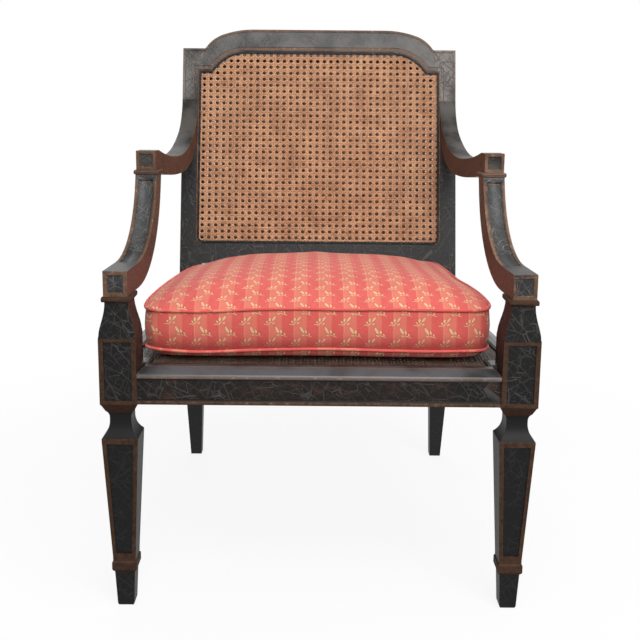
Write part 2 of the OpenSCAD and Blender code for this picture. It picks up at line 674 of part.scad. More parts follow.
// Corner blocks are triangles glued into the rails' corners, under the seat frame
block_t = 24;
block_z = frame_z - block_t - rest_gap;
function rail_in_x(y) = side_line(y, rail_inset + rail_t);
module corner_triangle(rear) {
    way = rear ? -1 : 1;
    y0 = rear ? rear_rail_y : rail_inset + rail_t;
    y1 = y0 + way * corner_block_l;
    toe = [rail_in_x(y1) - corner_block_l, y0];
    polygon(rear ? [toe, [rail_in_x(y0), y0], [rail_in_x(y1), y1]]
        : [toe, [rail_half, y0], [rail_half, block_d], [rail_in_x(block_d), block_d],
            [rail_in_x(y1), y1]]);
}
module corner_block(left, rear) color(beech) placed() mirrored(left) difference() {
    lay(block_z, block_z + block_t) corner_triangle(rear);
    if (rear) post_solid();
    corner_screw_holes(rear ? 1 : 0);
}
// Two screws a block, from its long face square into the two rails
screw_grip = 16;
screw_l = 34;
function screw_at(end) = end == 0
    ? [[rail_half - 32, rail_inset + rail_t + screw_grip, -90],
        [rail_in_x(block_d + 32) - screw_grip, block_d + 32, 0]]
    : [[post_in - 34, rear_rail_y - screw_grip, 90],
        [rail_in_x(post_face_y - 36) - screw_grip, post_face_y - 36, 0]];
// Screw along z from its head at the origin; a reach makes the head's sinking
module screw(play, reach) rotate_extrude() polygon(concat(
    reach > 0 ? [[0, -reach], [screw_d + play, -reach]] : [[0, -3]],
    [[screw_d + play, -3], [screw_d / 2 + play, 0], [screw_d / 2 + play, screw_l + play],
        [0, screw_l + play]]));
module turned_screw(s, play, reach) translate([s[0], s[1], block_z + block_t / 2])
    rotate([0, 90, s[2]]) screw(play, reach);
module corner_screw_holes(end) for (s = screw_at(end)) turned_screw(s, fit, 60);
module corner_block_screws() color(steel) placed() for (side = [0, 1], end = [0, 1])
    mirrored(side == 1) for (s = screw_at(end)) turned_screw(s, 0, 0);

/* Cushion */
// Plan of the cushion: a rounded oblong that narrows to the back, grown by d
corner_power = 15;
cushion_cy = cushion_y0 + cushion_l / 2;
cushion_n = 56;
// Compass angles round the plan, closest together at its corners
plan_angles = [for (q = [0:3], i = [0:cushion_n / 4 - 1]) let (s = (2 * i + 1) / (cushion_n / 4) - 1)
    90 * q + 45 + 45 * s * (0.4 + 0.6 * s * s)];
function plan_point(a, k, d) =
    let (r = pow(pow(abs(cos(a)), corner_power) + pow(abs(sin(a)), corner_power), -1 / corner_power),
        y = r * sin(a), half = (cushion_w + (cushion_back_w - cushion_w) * (y + 1) / 2) / 2)
    [k * (half + d) * r * cos(a) - cushion_shift, cushion_cy + k * (cushion_l / 2 + d) * y];
// Sides pull in between the corners by this much at the seams
pull_in = 3;
function drawn(a) = -pull_in * pow(cos(2 * a), 2);
// The top seam rises along the two sides
side_rise = 8;
function risen(a) = side_rise * pow(max(0, cos(2 * a)), 0.8);
function cushion_ring(k, z, d, up = 0) = [for (a = plan_angles) let (p = plan_point(a, k, d + drawn(a)))
    [p[0], p[1], z + up * risen(a)]];
// The crown is fuller at the sides and the front than at the back
function crown(a, k) = 1 - pow(k, 3.2 - 1.2 * sin(a) + 2 * pow(cos(a), 2));
function crown_ring(k, t) = [for (a = plan_angles) let (p = plan_point(a, k, drawn(a) - t))
    [p[0], p[1], seam_z1 + crown_h * crown(a, k) + risen(a) * pow(k, 4) - t]];
// Rings of the cushion from its flat bottom to its crown, inset by t on every side
cushion_z = deck_z - rebate_d + cane_t + rest_gap;
seam_z0 = deck_z + seam_low;
seam_z1 = seam_z0 + boxing_h;
function cushion_rings(t) = concat(
    [cushion_ring(0.55, cushion_z + t, -t), cushion_ring(0.88, cushion_z + t, -t),
        cushion_ring(0.965, cushion_z + t + 4.5, -t), cushion_ring(1, seam_z0, -t),
        cushion_ring(1, seam_z0 + boxing_h / 2, 2 - t, 0.5), cushion_ring(1, seam_z1, -t, 1)],
    [for (k = [0.96, 0.88, 0.74, 0.53, 0.28]) crown_ring(k, t)]);
module loft(rings, z_top) {
    n = len(rings[0]);
    m = len(rings);
    points = concat([[-cushion_shift, cushion_cy, rings[0][0][2]]], [for (r = rings, p = r) p],
        [[-cushion_shift, cushion_cy, z_top]]);
    faces = concat([for (i = [0:n - 1]) [0, 1 + i, 1 + (i + 1) % n]],
        [for (j = [0:m - 2], i = [0:n - 1], f = [0, 1])
            let (a = 1 + j * n + i, b = 1 + j * n + (i + 1) % n)
            f == 0 ? [a, a + n, b] : [b, a + n, b + n]],
        [for (i = [0:n - 1]) [m * n + 1, 1 + (m - 1) * n + (i + 1) % n, 1 + (m - 1) * n + i]]);
    polyhedron(points, faces, convexity = 6);
}
module cushion_form(t) loft(cushion_rings(t), seam_z1 + crown_h - t);
module cushion_cover() color(coral) placed() difference() {
    cushion_form(0);
    cushion_form(cover_t);
}
module cushion_core() color(wadding) placed() cushion_form(cover_t + rest_gap);
// A welt runs round the cover along a seam, just outside its edge
welt_sides = 6;
module cushion_welt(z, up) color(coral) placed() {
    r = welt_d / 2;
    rings = [for (s = [0:welt_sides - 1]) let (b = 360 * (s + 0.5) / welt_sides)
        cushion_ring(1, z + r * sin(b), r + 0.15 + r * cos(b), up)];
    n = cushion_n;
    points = [for (ring = rings, p = ring) p];
    faces = [for (s = [0:welt_sides - 1], i = [0:n - 1], f = [0, 1])
        let (a = s * n + i, b = s * n + (i + 1) % n,
            c = ((s + 1) % welt_sides) * n + i, d = ((s + 1) % welt_sides) * n + (i + 1) % n)
        f == 0 ? [a, c, b] : [b, c, d]];
    polyhedron(points, faces, convexity = 6);
}

front_leg(true);  // front_leg_left
front_leg(false);  // front_leg_right
arm_support(true);  // arm_support_left
arm_support(false);  // arm_support_right
arm(true);  // arm_left
arm(false);  // arm_right
back_post(true);  // back_post_left
back_post(false);  // back_post_right
crest_rail();
back_bottom_rail();
front_seat_rail();
rear_seat_rail();
side_rail(true);  // side_rail_left
side_rail(false);  // side_rail_right
seat_frame_front();
seat_frame_rear();
seat_frame_side(true);  // seat_frame_left
seat_frame_side(false);  // seat_frame_right
seat_cane();
seat_cane_spline();
back_cane(rebate_d - cane_t);  // back_cane_front
back_cane(back_t - rebate_d);  // back_cane_rear
back_spline(0.5, rebate_d - cane_t);  // back_spline_front
back_spline(back_t - rebate_d + cane_t, back_t - 0.5);  // back_spline_rear
corner_block(true, false);  // corner_block_front_left
corner_block(false, false);  // corner_block_front_right
corner_block(true, true);  // corner_block_rear_left
corner_block(false, true);  // corner_block_rear_right
corner_block_screws();
rail_dowels();
back_dowels();
arm_dowels();
cushion_cover();
cushion_core();
cushion_welt(seam_z1, 1);  // cushion_welt_top
cushion_welt(seam_z0, 0);  // cushion_welt_bottom
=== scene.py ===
# %% [markdown]
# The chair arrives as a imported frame: every part of the joinery, in metres, already in place.
# This script dresses it. Wooden parts get eased edges and a worn lacquer, the cane is woven strand
# by strand, and the cushion is blown up as cloth. First comes the frame and its size.

# %% Load the frame
import json
import math

import bmesh
import bpy
from mathutils import Matrix, Vector
from mathutils.bvhtree import BVHTree


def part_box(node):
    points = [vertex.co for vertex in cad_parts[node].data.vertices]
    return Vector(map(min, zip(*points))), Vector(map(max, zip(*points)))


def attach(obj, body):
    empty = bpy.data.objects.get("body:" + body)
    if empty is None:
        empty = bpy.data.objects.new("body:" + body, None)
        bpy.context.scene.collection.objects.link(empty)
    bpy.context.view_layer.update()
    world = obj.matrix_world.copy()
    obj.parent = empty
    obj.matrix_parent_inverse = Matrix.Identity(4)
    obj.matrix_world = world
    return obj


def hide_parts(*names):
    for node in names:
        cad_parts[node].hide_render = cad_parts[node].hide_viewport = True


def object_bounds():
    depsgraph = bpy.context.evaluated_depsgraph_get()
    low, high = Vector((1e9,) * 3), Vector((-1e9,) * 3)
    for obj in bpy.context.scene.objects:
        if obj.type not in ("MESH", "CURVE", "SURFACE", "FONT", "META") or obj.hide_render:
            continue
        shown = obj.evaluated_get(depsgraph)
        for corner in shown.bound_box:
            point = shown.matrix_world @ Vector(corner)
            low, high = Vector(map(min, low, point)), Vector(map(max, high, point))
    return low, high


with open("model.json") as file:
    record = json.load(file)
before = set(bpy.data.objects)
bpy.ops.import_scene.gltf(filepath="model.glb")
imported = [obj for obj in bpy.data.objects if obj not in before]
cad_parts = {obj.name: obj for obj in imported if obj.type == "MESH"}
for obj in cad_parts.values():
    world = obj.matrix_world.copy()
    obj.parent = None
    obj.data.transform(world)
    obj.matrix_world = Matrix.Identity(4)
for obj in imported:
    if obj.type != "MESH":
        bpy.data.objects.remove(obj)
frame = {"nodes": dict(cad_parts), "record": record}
nodes = frame["nodes"]
cad_box = [list(corner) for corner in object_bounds()]
print("frame", [round(high - low, 4) for low, high in zip(*cad_box)])

# %% [markdown]
# The photograph was taken a little over a metre and a half from the chair's middle, from about the
# height of its back, looking down by ten degrees. A small shift of the lens sets the chair in the
# picture as it stands there, without tilting its uprights any further.

# %% Camera
LENS, SENSOR = 53.44, 36
SHIFT_X, SHIFT_Y = 0.0141, -0.0781
EYE = (-0.0134, -1.6722, 0.7621)
TILT, ROLL = math.radians(79.764), math.radians(0.496)

scene = bpy.context.scene
camera_data = bpy.data.cameras.new("camera")
camera_data.lens, camera_data.sensor_width = LENS, SENSOR
camera_data.shift_x, camera_data.shift_y = SHIFT_X, SHIFT_Y
camera = bpy.data.objects.new("camera", camera_data)
scene.collection.objects.link(camera)
camera.matrix_world = (
    Matrix.Translation(EYE) @ Matrix.Rotation(TILT, 4, "X") @ Matrix.Rotation(ROLL, 4, "Z"))
scene.camera = camera
print("camera", [round(place, 3) for place in EYE])

# %% [markdown]
# A material in Blender is a graph of nodes. Written out link by link it is hard to read, so a small
# class wraps a socket: an expression such as 1 - mask * 0.5 then adds the Math nodes it needs.


# %% Shader expressions
class Signal:
    """A socket that gives a number, which can be used in sums."""

    def __init__(self, paint, socket):
        self.paint, self.socket = paint, socket

    def sum_of(self, operation, *terms):
        return self.paint.node("ShaderNodeMath", {"operation": operation}, *terms)

    def __add__(self, other): return self.sum_of("ADD", self, other)
    def __radd__(self, other): return self.sum_of("ADD", other, self)
    def __sub__(self, other): return self.sum_of("SUBTRACT", self, other)
    def __rsub__(self, other): return self.sum_of("SUBTRACT", other, self)
    def __mul__(self, other): return self.sum_of("MULTIPLY", self, other)
    def __rmul__(self, other): return self.sum_of("MULTIPLY", other, self)
    def __truediv__(self, other): return self.sum_of("DIVIDE", self, other)
    def least(self, other): return self.sum_of("MINIMUM", self, other)
    def most(self, other): return self.sum_of("MAXIMUM", self, other)
    def part(self): return self.sum_of("FRACT", self)

    def ramp(self, low, high):
        """Rises smoothly from 0 at low to 1 at high, or falls where low is above high."""
        turned = low > high
        settings = {"interpolation_type": "SMOOTHSTEP"}
        out = self.paint.node("ShaderNodeMapRange", settings, self, min(low, high), max(low, high))
        return 1 - out if turned else out


class Paint:
    """A new material whose nodes are added by one method."""

    def __init__(self, name, **shader_values):
        self.material = bpy.data.materials.new(name)
        self.material.use_nodes = True
        self.tree = self.material.node_tree
        self.shader = self.tree.nodes["Principled BSDF"]
        for socket, value in shader_values.items():
            self.shader.inputs[socket.replace("_", " ")].default_value = value

    def node(self, kind, settings, *values, out=0, **named):
        made = self.tree.nodes.new(kind)
        for key, value in settings.items():
            setattr(made, key, value)
        pairs = list(zip([s for s in made.inputs if s.enabled], values))
        pairs += [(made.inputs[key.replace("_", " ")], value) for key, value in named.items()]
        for socket, value in pairs:
            if isinstance(value, Signal):
                self.tree.links.new(value.socket, socket)
            elif value is not None:
                socket.default_value = value
        return Signal(self, made.outputs[out])

    def place(self, scale=(1, 1, 1), turn=(0, 0, 0)):
        """Object coordinates, in metres, turned and then stretched."""
        spot = self.node("ShaderNodeTexCoord", {}, out="Object")
        turned = self.node("ShaderNodeMapping", {"vector_type": "POINT"}, spot, None, turn)
        return self.node("ShaderNodeMapping", {"vector_type": "POINT"}, turned, None, None, scale)

    def noise(self, where, scale, detail=3, roughness=0.5):
        return self.node("ShaderNodeTexNoise", {}, Vector=where, Scale=scale, Detail=detail,
                         Roughness=roughness)

    def bent(self, where, scale, reach):
        """A place moved by noise, by reach along each axis at most."""
        bend = self.node("ShaderNodeTexNoise", {}, out="Color", Vector=where, Scale=scale,
                         Detail=1.0)
        return self.node("ShaderNodeVectorMath", {"operation": "MULTIPLY_ADD"}, bend, reach, where)

    def axis(self, where, name):
        """One coordinate of a place."""
        return Signal(self, self.node("ShaderNodeSeparateXYZ", {}, where).socket.node.outputs[name])

    def mix(self, amount, first, second):
        """Goes from the first colour to the second."""
        return self.node("ShaderNodeMix", {"data_type": "RGBA"}, amount, first, second, out=2)

    def channels(self, attribute):
        """The red, green and blue of a colour attribute."""
        colour = self.node("ShaderNodeAttribute", {"attribute_name": attribute}, out="Color")
        parts = self.node("ShaderNodeSeparateColor", {}, colour).socket.node.outputs
        return [Signal(self, part) for part in parts]

    def feed(self, **sockets):
        for name, signal in sockets.items():
            self.tree.links.new(signal.socket, self.shader.inputs[name.replace("_", " ")])

    def relief(self, height, depth):
        """Feeds a height, in units of depth metres, to the shader's normal."""
        bump = self.node("ShaderNodeBump", {}, Strength=1.0, Distance=depth, Height=height)
        self.feed(Normal=bump)


print("shader helpers ready")

# %% [markdown]
# The lacquer is black, satin and crinkled: raised creases run over it, mostly on the diagonal.
# Voronoi cells give such a net where two cells meet, and noise bends it. Along the eased edges and
# the beads the black is rubbed through to tan, on the collars to brown, and the sides that face the
# sitter are red brown. Those places are marked on the mesh, in a colour attribute named finish.
# The arms are worn to a grey of their own. The greys of the posts, the arm supports, the crest and
# the seat's frame are partly wear and partly a painted sheen, and on the posts and the arm supports
# a painted reflection of the lamps makes them lighter above a height. So one function makes every
# lacquer and takes the share of grey, the gloss and the creases as numbers.


# %% Lacquer
def rgb(red, green, blue):
    return (red, green, blue, 1)


BLACK = rgb(0.0046, 0.0044, 0.0044)
THREAD = rgb(0.062, 0.058, 0.054)
PALE_THREAD = rgb(0.150, 0.144, 0.136)
BROWN = rgb(0.060, 0.029, 0.017)
TAN = rgb(0.215, 0.120, 0.072)
TAN_PALE = rgb(0.42, 0.31, 0.23)
DARK_BROWN = rgb(0.014, 0.009, 0.006)
RED_BROWN = rgb(0.098, 0.040, 0.026)
WEAR_AND_SHEEN_GREY = rgb(0.060, 0.053, 0.047)
COOL_GREY = rgb(0.064, 0.067, 0.071)
WARM_GREY = rgb(0.115, 0.104, 0.093)
PALE_GREY = rgb(0.190, 0.175, 0.160)
MARK_BROWN = rgb(0.060, 0.024, 0.016)
EVERYWHERE = -9  # A height, in metres, that lies under every piece.


def creases(paint, turn, scale, width):
    """Raised lines that cross each other, where the long cells of a bent Voronoi pattern meet."""
    spot = paint.bent(paint.place((1.0, 1.0, 0.38), turn), 30.0, (0.006, 0.006, 0.006))
    edge = paint.node("ShaderNodeTexVoronoi", {"feature": "DISTANCE_TO_EDGE"}, Vector=spot,
                      Scale=scale)
    return edge.ramp(width, width * 0.15)


def lacquer_paint(name, grey=0.0, marks=0.0, gloss=0.15, crinkle=1.0, tint=WEAR_AND_SHEEN_GREY,
                  sheen_from=EVERYWHERE, line=THREAD):
    """Lacquer: wear and painted sheen in grey above a height, brown marks, gloss and creases."""
    paint = Paint(name, Specular_IOR_Level=gloss, Coat_Roughness=0.25)
    rub, red, bead = paint.channels("finish")
    skin = paint.node("ShaderNodeAttribute", {"attribute_name": "finish"}, out="Alpha")
    plain = paint.place()
    patches = paint.noise(plain, 18, 3)
    fleck = paint.noise(plain, 900, 4, 0.6)
    wear = paint.noise(plain, 140, 4, 0.65)
    rising = creases(paint, (0, 0.80, 0), 62, 0.042)
    falling = creases(paint, (0.2, -0.72, 0), 70, 0.042)
    fine = creases(paint, (0.3, 0.45, 0), 150, 0.06)
    strength = 0.35 + 0.65 * paint.noise(plain, 34, 2).ramp(0.36, 0.60)
    threads = rising.most(falling).most(fine * 0.4) * strength * skin * crinkle
    # Painted reflection: above a given height the grey is lighter, where upper parts catch the
    # lamps.
    reflecting_part = paint.axis(plain, "Z").ramp(sheen_from, sheen_from + 0.12)
    base = paint.mix(patches.ramp(0.30, 0.62) * grey * reflecting_part, BLACK, tint)
    if marks:
        low = paint.noise(paint.place((0.5, 1.0, 1.0)), 95, 4, 0.6).ramp(0.52, 0.66)
        base = paint.mix(low * marks * skin, base, MARK_BROWN)
    base = paint.mix(threads * 0.85, base, line)
    reddened = paint.mix(red * (0.75 + 0.25 * patches.ramp(0.35, 0.6)), base, RED_BROWN)
    worn = rub.most(bead)
    tone = (worn * 2 - 1).most(0.0)
    tan = paint.mix(tone * (0.55 + 0.45 * patches.ramp(0.36, 0.60)), BROWN, TAN)
    tan = paint.mix(tone * wear.ramp(0.56, 0.70) * 0.7, tan, TAN_PALE)
    shown = (worn * 2).least(1.0) * (0.40 + 0.60 * wear.ramp(0.34, 0.54))
    paint.feed(
        Base_Color=paint.mix(shown * 0.92, reddened, tan),
        Roughness=0.50 - 0.30 * min(gloss, 0.6) + 0.14 * fleck + shown * 0.28 - threads * 0.06,
        Coat_Weight=(1 - shown) * (gloss / 3),
    )
    paint.relief(threads * (1 - shown) + fleck * 0.02 + wear * shown * 0.4, 0.0009)
    return paint.material


lacquer = lacquer_paint("black_lacquer")
rail_lacquer = lacquer_paint("rail_lacquer", grey=0.7, marks=0.65, tint=DARK_BROWN)
worn_lacquer = lacquer_paint("worn_lacquer", grey=0.65, tint=WARM_GREY)
# The greys of the supports, posts, crest and seat's frame are partly a painted sheen.
support_lacquer = lacquer_paint("support_lacquer", grey=0.80, gloss=0.28, tint=COOL_GREY,
                                sheen_from=0.46, line=PALE_THREAD)
post_lacquer = lacquer_paint("post_lacquer", grey=0.90, gloss=0.26, tint=PALE_GREY, sheen_from=0.62)
crest_lacquer = lacquer_paint("crest_lacquer", grey=0.60, gloss=0.38, crinkle=0.3, tint=WARM_GREY)
frame_lacquer = lacquer_paint("frame_lacquer", grey=0.9, gloss=0.55, crinkle=0.4, tint=COOL_GREY)
print("lacquer ready")

# %% [markdown]
# Every piece of this scene stands in for nodes of the frame. It rides with their body, so that it
# moves with them, and hides them. Three helpers do that for all pieces.


# %% Standing in for nodes
bodies = frame["record"]["behaviour"]["bodies"]
body_of = {node: body for body, members in bodies.items() for node in members}


def as_mesh(form, name):
    """The bmesh as mesh data."""
    data = bpy.data.meshes.new(name)
    form.to_mesh(data)
    form.free()
    return data


def new_piece(name, data):
    piece = bpy.data.objects.new(name, data)
    scene.collection.objects.link(piece)
    return piece


def painted(piece, material):
    piece.data.materials.clear()
    piece.data.materials.append(material)
    return piece


def stands_for(piece, *names):
    """Lets a piece ride with the nodes' body and replace them."""
    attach(piece, body_of[names[0]])
    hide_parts(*names)
    return piece


# %% [markdown]
# Real joiner's edges are never knife sharp. Each wooden part is a copy of its frame node: doubled
# points are merged, flat areas are made one face again, and the sharp edges are beveled. The new
# faces of the bevel are where lacquer wears first, so they are marked as rubbed. A group of faces
# that join smoothly and are narrow all along is a bead, which is marked too. A still narrower one
# is the wall of a groove, and its edges stay sharp, so that it shows as a thin dark line.


# %% Worn places
SHARP, CREASE = math.radians(24), math.radians(12)
BEAD_WIDTH, BEAD_REACH = 0.0072, 0.09
GROOVE, BEAD = 2, 1
BROWN_WEAR, FAINT_CREASES = 0.52, 0.25
NEVER, ALWAYS = (9, 9), (0.0, 9.0)


def smooth_regions(mesh, turn):
    """Groups of faces whose shared edges bend by no more than turn."""
    group, groups = {}, []
    for seed in mesh.faces:
        if seed in group:
            continue
        found, waiting = [], [seed]
        group[seed] = len(groups)
        while waiting:
            face = waiting.pop()
            found.append(face)
            for edge in face.edges:
                if len(edge.link_faces) != 2 or edge.calc_face_angle(0) > turn:
                    continue
                for other in edge.link_faces:
                    if other not in group:
                        group[other] = len(groups)
                        waiting.append(other)
        groups.append(found)
    return groups


def strip_kind(faces, groove):
    """GROOVE for a long strip as narrow as a groove's wall, BEAD for one like a bead, or 0."""
    inside = set(faces)
    rim = sum(edge.calc_length() for face in faces for edge in face.edges
              if not all(other in inside for other in edge.link_faces))
    wide = 2 * sum(face.calc_area() for face in faces) / max(rim, 0.001)
    if rim < BEAD_REACH or wide > BEAD_WIDTH:
        return 0
    return GROOVE if wide < groove else BEAD


def marked(mesh, rubbed, kind, wear):
    """Writes the worn places into the attribute finish: rubbed, red, bead and crinkled skin."""
    finish = mesh.loops.layers.float_color.new("finish")
    for face in mesh.faces:
        face.smooth = True
        spot = face.calc_center_median()
        edge, strip = face in rubbed, face[kind]
        inner = face.normal.x * wear["red_side"] > 0.55 and spot.z > wear["red_from"]
        red = wear["redness"] if inner and not strip else 0.0
        bead = wear["tone"] if strip == BEAD and not edge else 0.0
        if not edge and any(low < spot.z < high for low, high in wear["brown"]):
            bead = BROWN_WEAR
        low, high = wear["plain_band"]
        crinkled = abs(face.normal.z) < wear["steep"] and not low < spot.z < high
        low, high = wear["creased"]
        skin = 1.0 if low < spot.z < high else FAINT_CREASES
        if edge or strip or not crinkled:
            skin = 0.0
        for loop in face.loops:
            loop[finish] = (wear["tone"] if edge else 0.0, red, bead, skin)


def eased(node, material, ease=0.0009, turn=SHARP, strips=None, groove=0.0025, tone=0.85,
          red_side=0.0, red_from=0.0, redness=0.9, brown=(), steep=0.55, plain_band=NEVER,
          creased=ALWAYS):
    """A beveled copy of a frame node, with its worn places marked, painted with a lacquer.

    ease is the bevel's width, and turn how far faces bend within one strip. A strip is marked by
    its width: under groove it is a groove's wall, and strips gives other limits for a bead. tone
    says how strong the tan wear is, redness how strong the red brown is, and brown at what heights
    it is brown all over. steep, plain_band and creased say which faces have creases.
    """
    mesh = bmesh.new()
    mesh.from_mesh(nodes[node].data)
    bmesh.ops.remove_doubles(mesh, verts=mesh.verts, dist=0.00001)
    bmesh.ops.dissolve_limit(mesh, angle_limit=0.015, verts=mesh.verts, edges=mesh.edges)
    kind = mesh.faces.layers.int.new("kind")
    for faces in smooth_regions(mesh, turn):
        found = strip_kind(faces, groove)
        for face in faces:
            face[kind] = found
            if strips and abs(face.normal.x) < 0.3:
                wide = 2 * face.calc_area() / face.calc_perimeter()
                face[kind] = BEAD if strips[0] < wide < strips[1] else 0
    edges = [e for e in mesh.edges if len(e.link_faces) == 2 and e.calc_face_angle(0) > SHARP
             and all(face[kind] != GROOVE for face in e.link_faces)]
    made = bmesh.ops.bevel(mesh, geom=edges, offset=ease, offset_type="OFFSET", affect="EDGES",
                           segments=2, profile=0.5, material=-1, clamp_overlap=True)
    marked(mesh, set(made["faces"]), kind, {
        "tone": tone, "red_side": red_side, "red_from": red_from, "redness": redness,
        "brown": brown, "steep": steep, "plain_band": plain_band, "creased": creased})
    piece = new_piece(node + "_eased", as_mesh(mesh, node + "_eased"))
    shading = piece.modifiers.new("shading", "WEIGHTED_NORMAL")
    shading.weight = 100
    shading.keep_sharp = True
    return painted(stands_for(piece, node), material)


print("a bead is at most", BEAD_WIDTH, "m wide")

# %% [markdown]
# The tan on the left side of the real chair is weaker than on the right one. Heights are in metres
# from the floor: the leg's neck has no creases, its ankle ring and collars are rubbed to brown all
# over, and the red brown of its inner side starts above the rails.


# %% Eased wooden parts
LEG_BROWN = ((0.058, 0.077), (0.309, 0.3235), (0.4745, 0.4825))
SUPPORT_BROWN = ((0.6385, 0.6465),)
wooden = []
for side, inner, tan_strength in (("left", 1.0, 0.8), ("right", -1.0, 1.0)):
    wooden += [
        eased(f"front_leg_{side}", lacquer, turn=CREASE, tone=0.54, red_side=inner, red_from=0.34,
              redness=0.4, brown=LEG_BROWN, plain_band=(0.266, 0.322), creased=(0.30, 9.0)),
        eased(f"back_post_{side}", post_lacquer, ease=0.0013, groove=0.0010, tone=1.0,
              creased=(0.34, 0.72)),
        eased(f"side_rail_{side}", lacquer, tone=0.7),
        eased(f"seat_frame_{side}", frame_lacquer),
        eased(f"arm_support_{side}", support_lacquer, strips=(0.0030, 0.0062), tone=tan_strength,
              red_side=inner, brown=SUPPORT_BROWN, steep=0.93),
        eased(f"arm_{side}", worn_lacquer, tone=tan_strength, red_side=inner, steep=0.3),
    ]
wooden.append(eased("front_seat_rail", rail_lacquer, tone=0.7))
wooden.append(eased("crest_rail", crest_lacquer, ease=0.0013))
wooden += [eased(part, frame_lacquer) for part in ("seat_frame_front", "seat_frame_rear")]
wooden += [eased(part, post_lacquer) for part in ("back_bottom_rail", "rear_seat_rail")]
print("eased wooden parts", len(wooden))

# %% [markdown]
# The cane is the six-way weave of old chairs. Pairs of strands run up and across, and single ones
# run both ways on the diagonal. The uprights lie under the crosswise pairs, and each diagonal goes
# over one and under the other, which locks the net and leaves an eight-sided hole in every cell.
# One cell is drawn as flat three-sided strands, each extruded along its points, and then repeated.


# %% One cell of the weave
CANE_THICK, PAIR_DIP, WELD = 0.0006, 0.00035, 0.00002
# Where each diagonal starts and ends in its cell, from 0 to 1, and how high it lies at each end.
DIAGONALS = (
    (0.5, 0.0, 1.0, 0.5, 0.0008, -0.0007), (0.5, 1.0, 0.0, 0.5, 0.0008, -0.0007),
    (0.5, 0.0, 0.0, 0.5, -0.0006, 0.0007), (0.5, 1.0, 1.0, 0.5, -0.0006, 0.0007),
)


def strand(mesh, points, sideways, width):
    """One strand of cane through the points, three-sided, with its round side up."""
    points = [Vector(point) for point in points]
    along = (points[-1] - points[0]).normalized()
    sideways = Vector(sideways).normalized()
    up = along.cross(sideways)
    up = up if up.z > 0 else -up
    frame_at = Matrix.Translation(points[0]) @ Matrix(
        (sideways * width / 1.732, up * CANE_THICK / 1.5, along)).transposed().to_4x4()
    ring = bmesh.ops.create_circle(mesh, segments=3, radius=1.0, matrix=frame_at)["verts"]
    edges = list({edge for vert in ring for edge in vert.link_edges})
    for start, end in zip(points, points[1:]):
        grown = bmesh.ops.extrude_edge_only(mesh, edges=edges)["geom"]
        edges = [part for part in grown if isinstance(part, bmesh.types.BMEdge)]
        ring = [part for part in grown if isinstance(part, bmesh.types.BMVert)]
        bmesh.ops.translate(mesh, verts=ring, vec=end - start)


def weave_cell(across, up, steps, width, apart):
    """One cell of the weave, with its corner at the origin, in the plane z = 0.

    A diagonal has so many steps, and an upright or crosswise strand twice as many.
    """
    cell = bmesh.new()
    for side in (-apart, apart):
        shares = [i / (2 * steps) for i in range(2 * steps + 1)]
        dip = [PAIR_DIP * math.cos(2 * math.pi * share) for share in shares]
        strand(cell, [(side, up * t, -d) for t, d in zip(shares, dip)], (1, 0, 0), width)
        strand(cell, [(across * t, side, d) for t, d in zip(shares, dip)], (0, 1, 0), width)
    shares = [i / steps for i in range(steps + 1)]
    for x0, y0, x1, y1, z0, z1 in DIAGONALS:
        way = Vector((across * (x1 - x0), up * (y1 - y0), 0))
        heights = [z0 + (z1 - z0) * (0.5 - 0.5 * math.cos(math.pi * share)) for share in shares]
        points = [(across * x0 + way.x * share, up * y0 + way.y * share, height)
                  for share, height in zip(shares, heights)]
        strand(cell, points, (-way.y, way.x, 0), width)
    return cell


def repeated(mesh, count, step):
    """Repeats everything in the mesh along step."""
    first = mesh.verts[:] + mesh.edges[:] + mesh.faces[:]
    for i in range(1, count):
        copied = bmesh.ops.duplicate(mesh, geom=first)["geom"]
        verts = [part for part in copied if isinstance(part, bmesh.types.BMVert)]
        bmesh.ops.translate(mesh, verts=verts, vec=Vector(step) * i)


def within(point, outline):
    """Whether a point lies inside a closed outline."""
    inside = False
    for (x0, y0), (x1, y1) in zip(outline, outline[1:] + outline[:1]):
        if (y0 > point.y) != (y1 > point.y):
            if point.x < x0 + (point.y - y0) / (y1 - y0) * (x1 - x0):
                inside = not inside
    return inside


def woven(name, node, material, outline, pitch, steps, place, width, apart, phase=(0.0, 0.0)):
    """A woven panel, cut to an outline in its own plane, in place of a frame node."""
    across, up = pitch
    low = [min(p[i] for p in outline) for i in (0, 1)]
    high = [max(p[i] for p in outline) for i in (0, 1)]
    middle = [(low[i] + high[i]) / 2 + phase[i] for i in (0, 1)]
    columns = 2 * math.ceil((high[0] - low[0]) / 2 / across + 0.5)
    rows = 2 * math.ceil((high[1] - low[1]) / 2 / up + 0.5)
    net = weave_cell(across, up, steps, width, apart)
    repeated(net, columns, (across, 0, 0))
    repeated(net, rows, (0, up, 0))
    bmesh.ops.translate(net, verts=net.verts,
                        vec=(middle[0] - across * columns / 2, middle[1] - up * rows / 2, 0))
    bmesh.ops.remove_doubles(net, verts=net.verts, dist=WELD)
    outside = [face for face in net.faces if not within(face.calc_center_median(), outline)]
    bmesh.ops.delete(net, geom=outside, context="FACES")
    ends = [edge for edge in net.edges if len(edge.link_faces) == 1]
    bmesh.ops.holes_fill(net, edges=ends, sides=4)
    bmesh.ops.recalc_face_normals(net, faces=net.faces)
    bmesh.ops.transform(net, matrix=place, verts=net.verts)
    return painted(stands_for(new_piece(name, as_mesh(net, name)), node), material)


print("weave helpers ready")

# %% [markdown]
# The nets fill the openings of the back and of the seat, out to the middle of the splines that hold
# them. The back's opening is drawn in its own raked plane, with a flat top, two arcs, two straight
# flanks, shoulders and rounded lower corners.


# %% Openings
def arc(middle, radius, start, end, count):
    """Points on an arc, by compass angle in degrees from straight up."""
    angles = [math.radians(start + (end - start) * i / count) for i in range(count + 1)]
    return [(middle[0] + radius * math.sin(a), middle[1] + radius * math.cos(a)) for a in angles]


def both_sides(right):
    return right + [(-x, y) for x, y in reversed(right)]


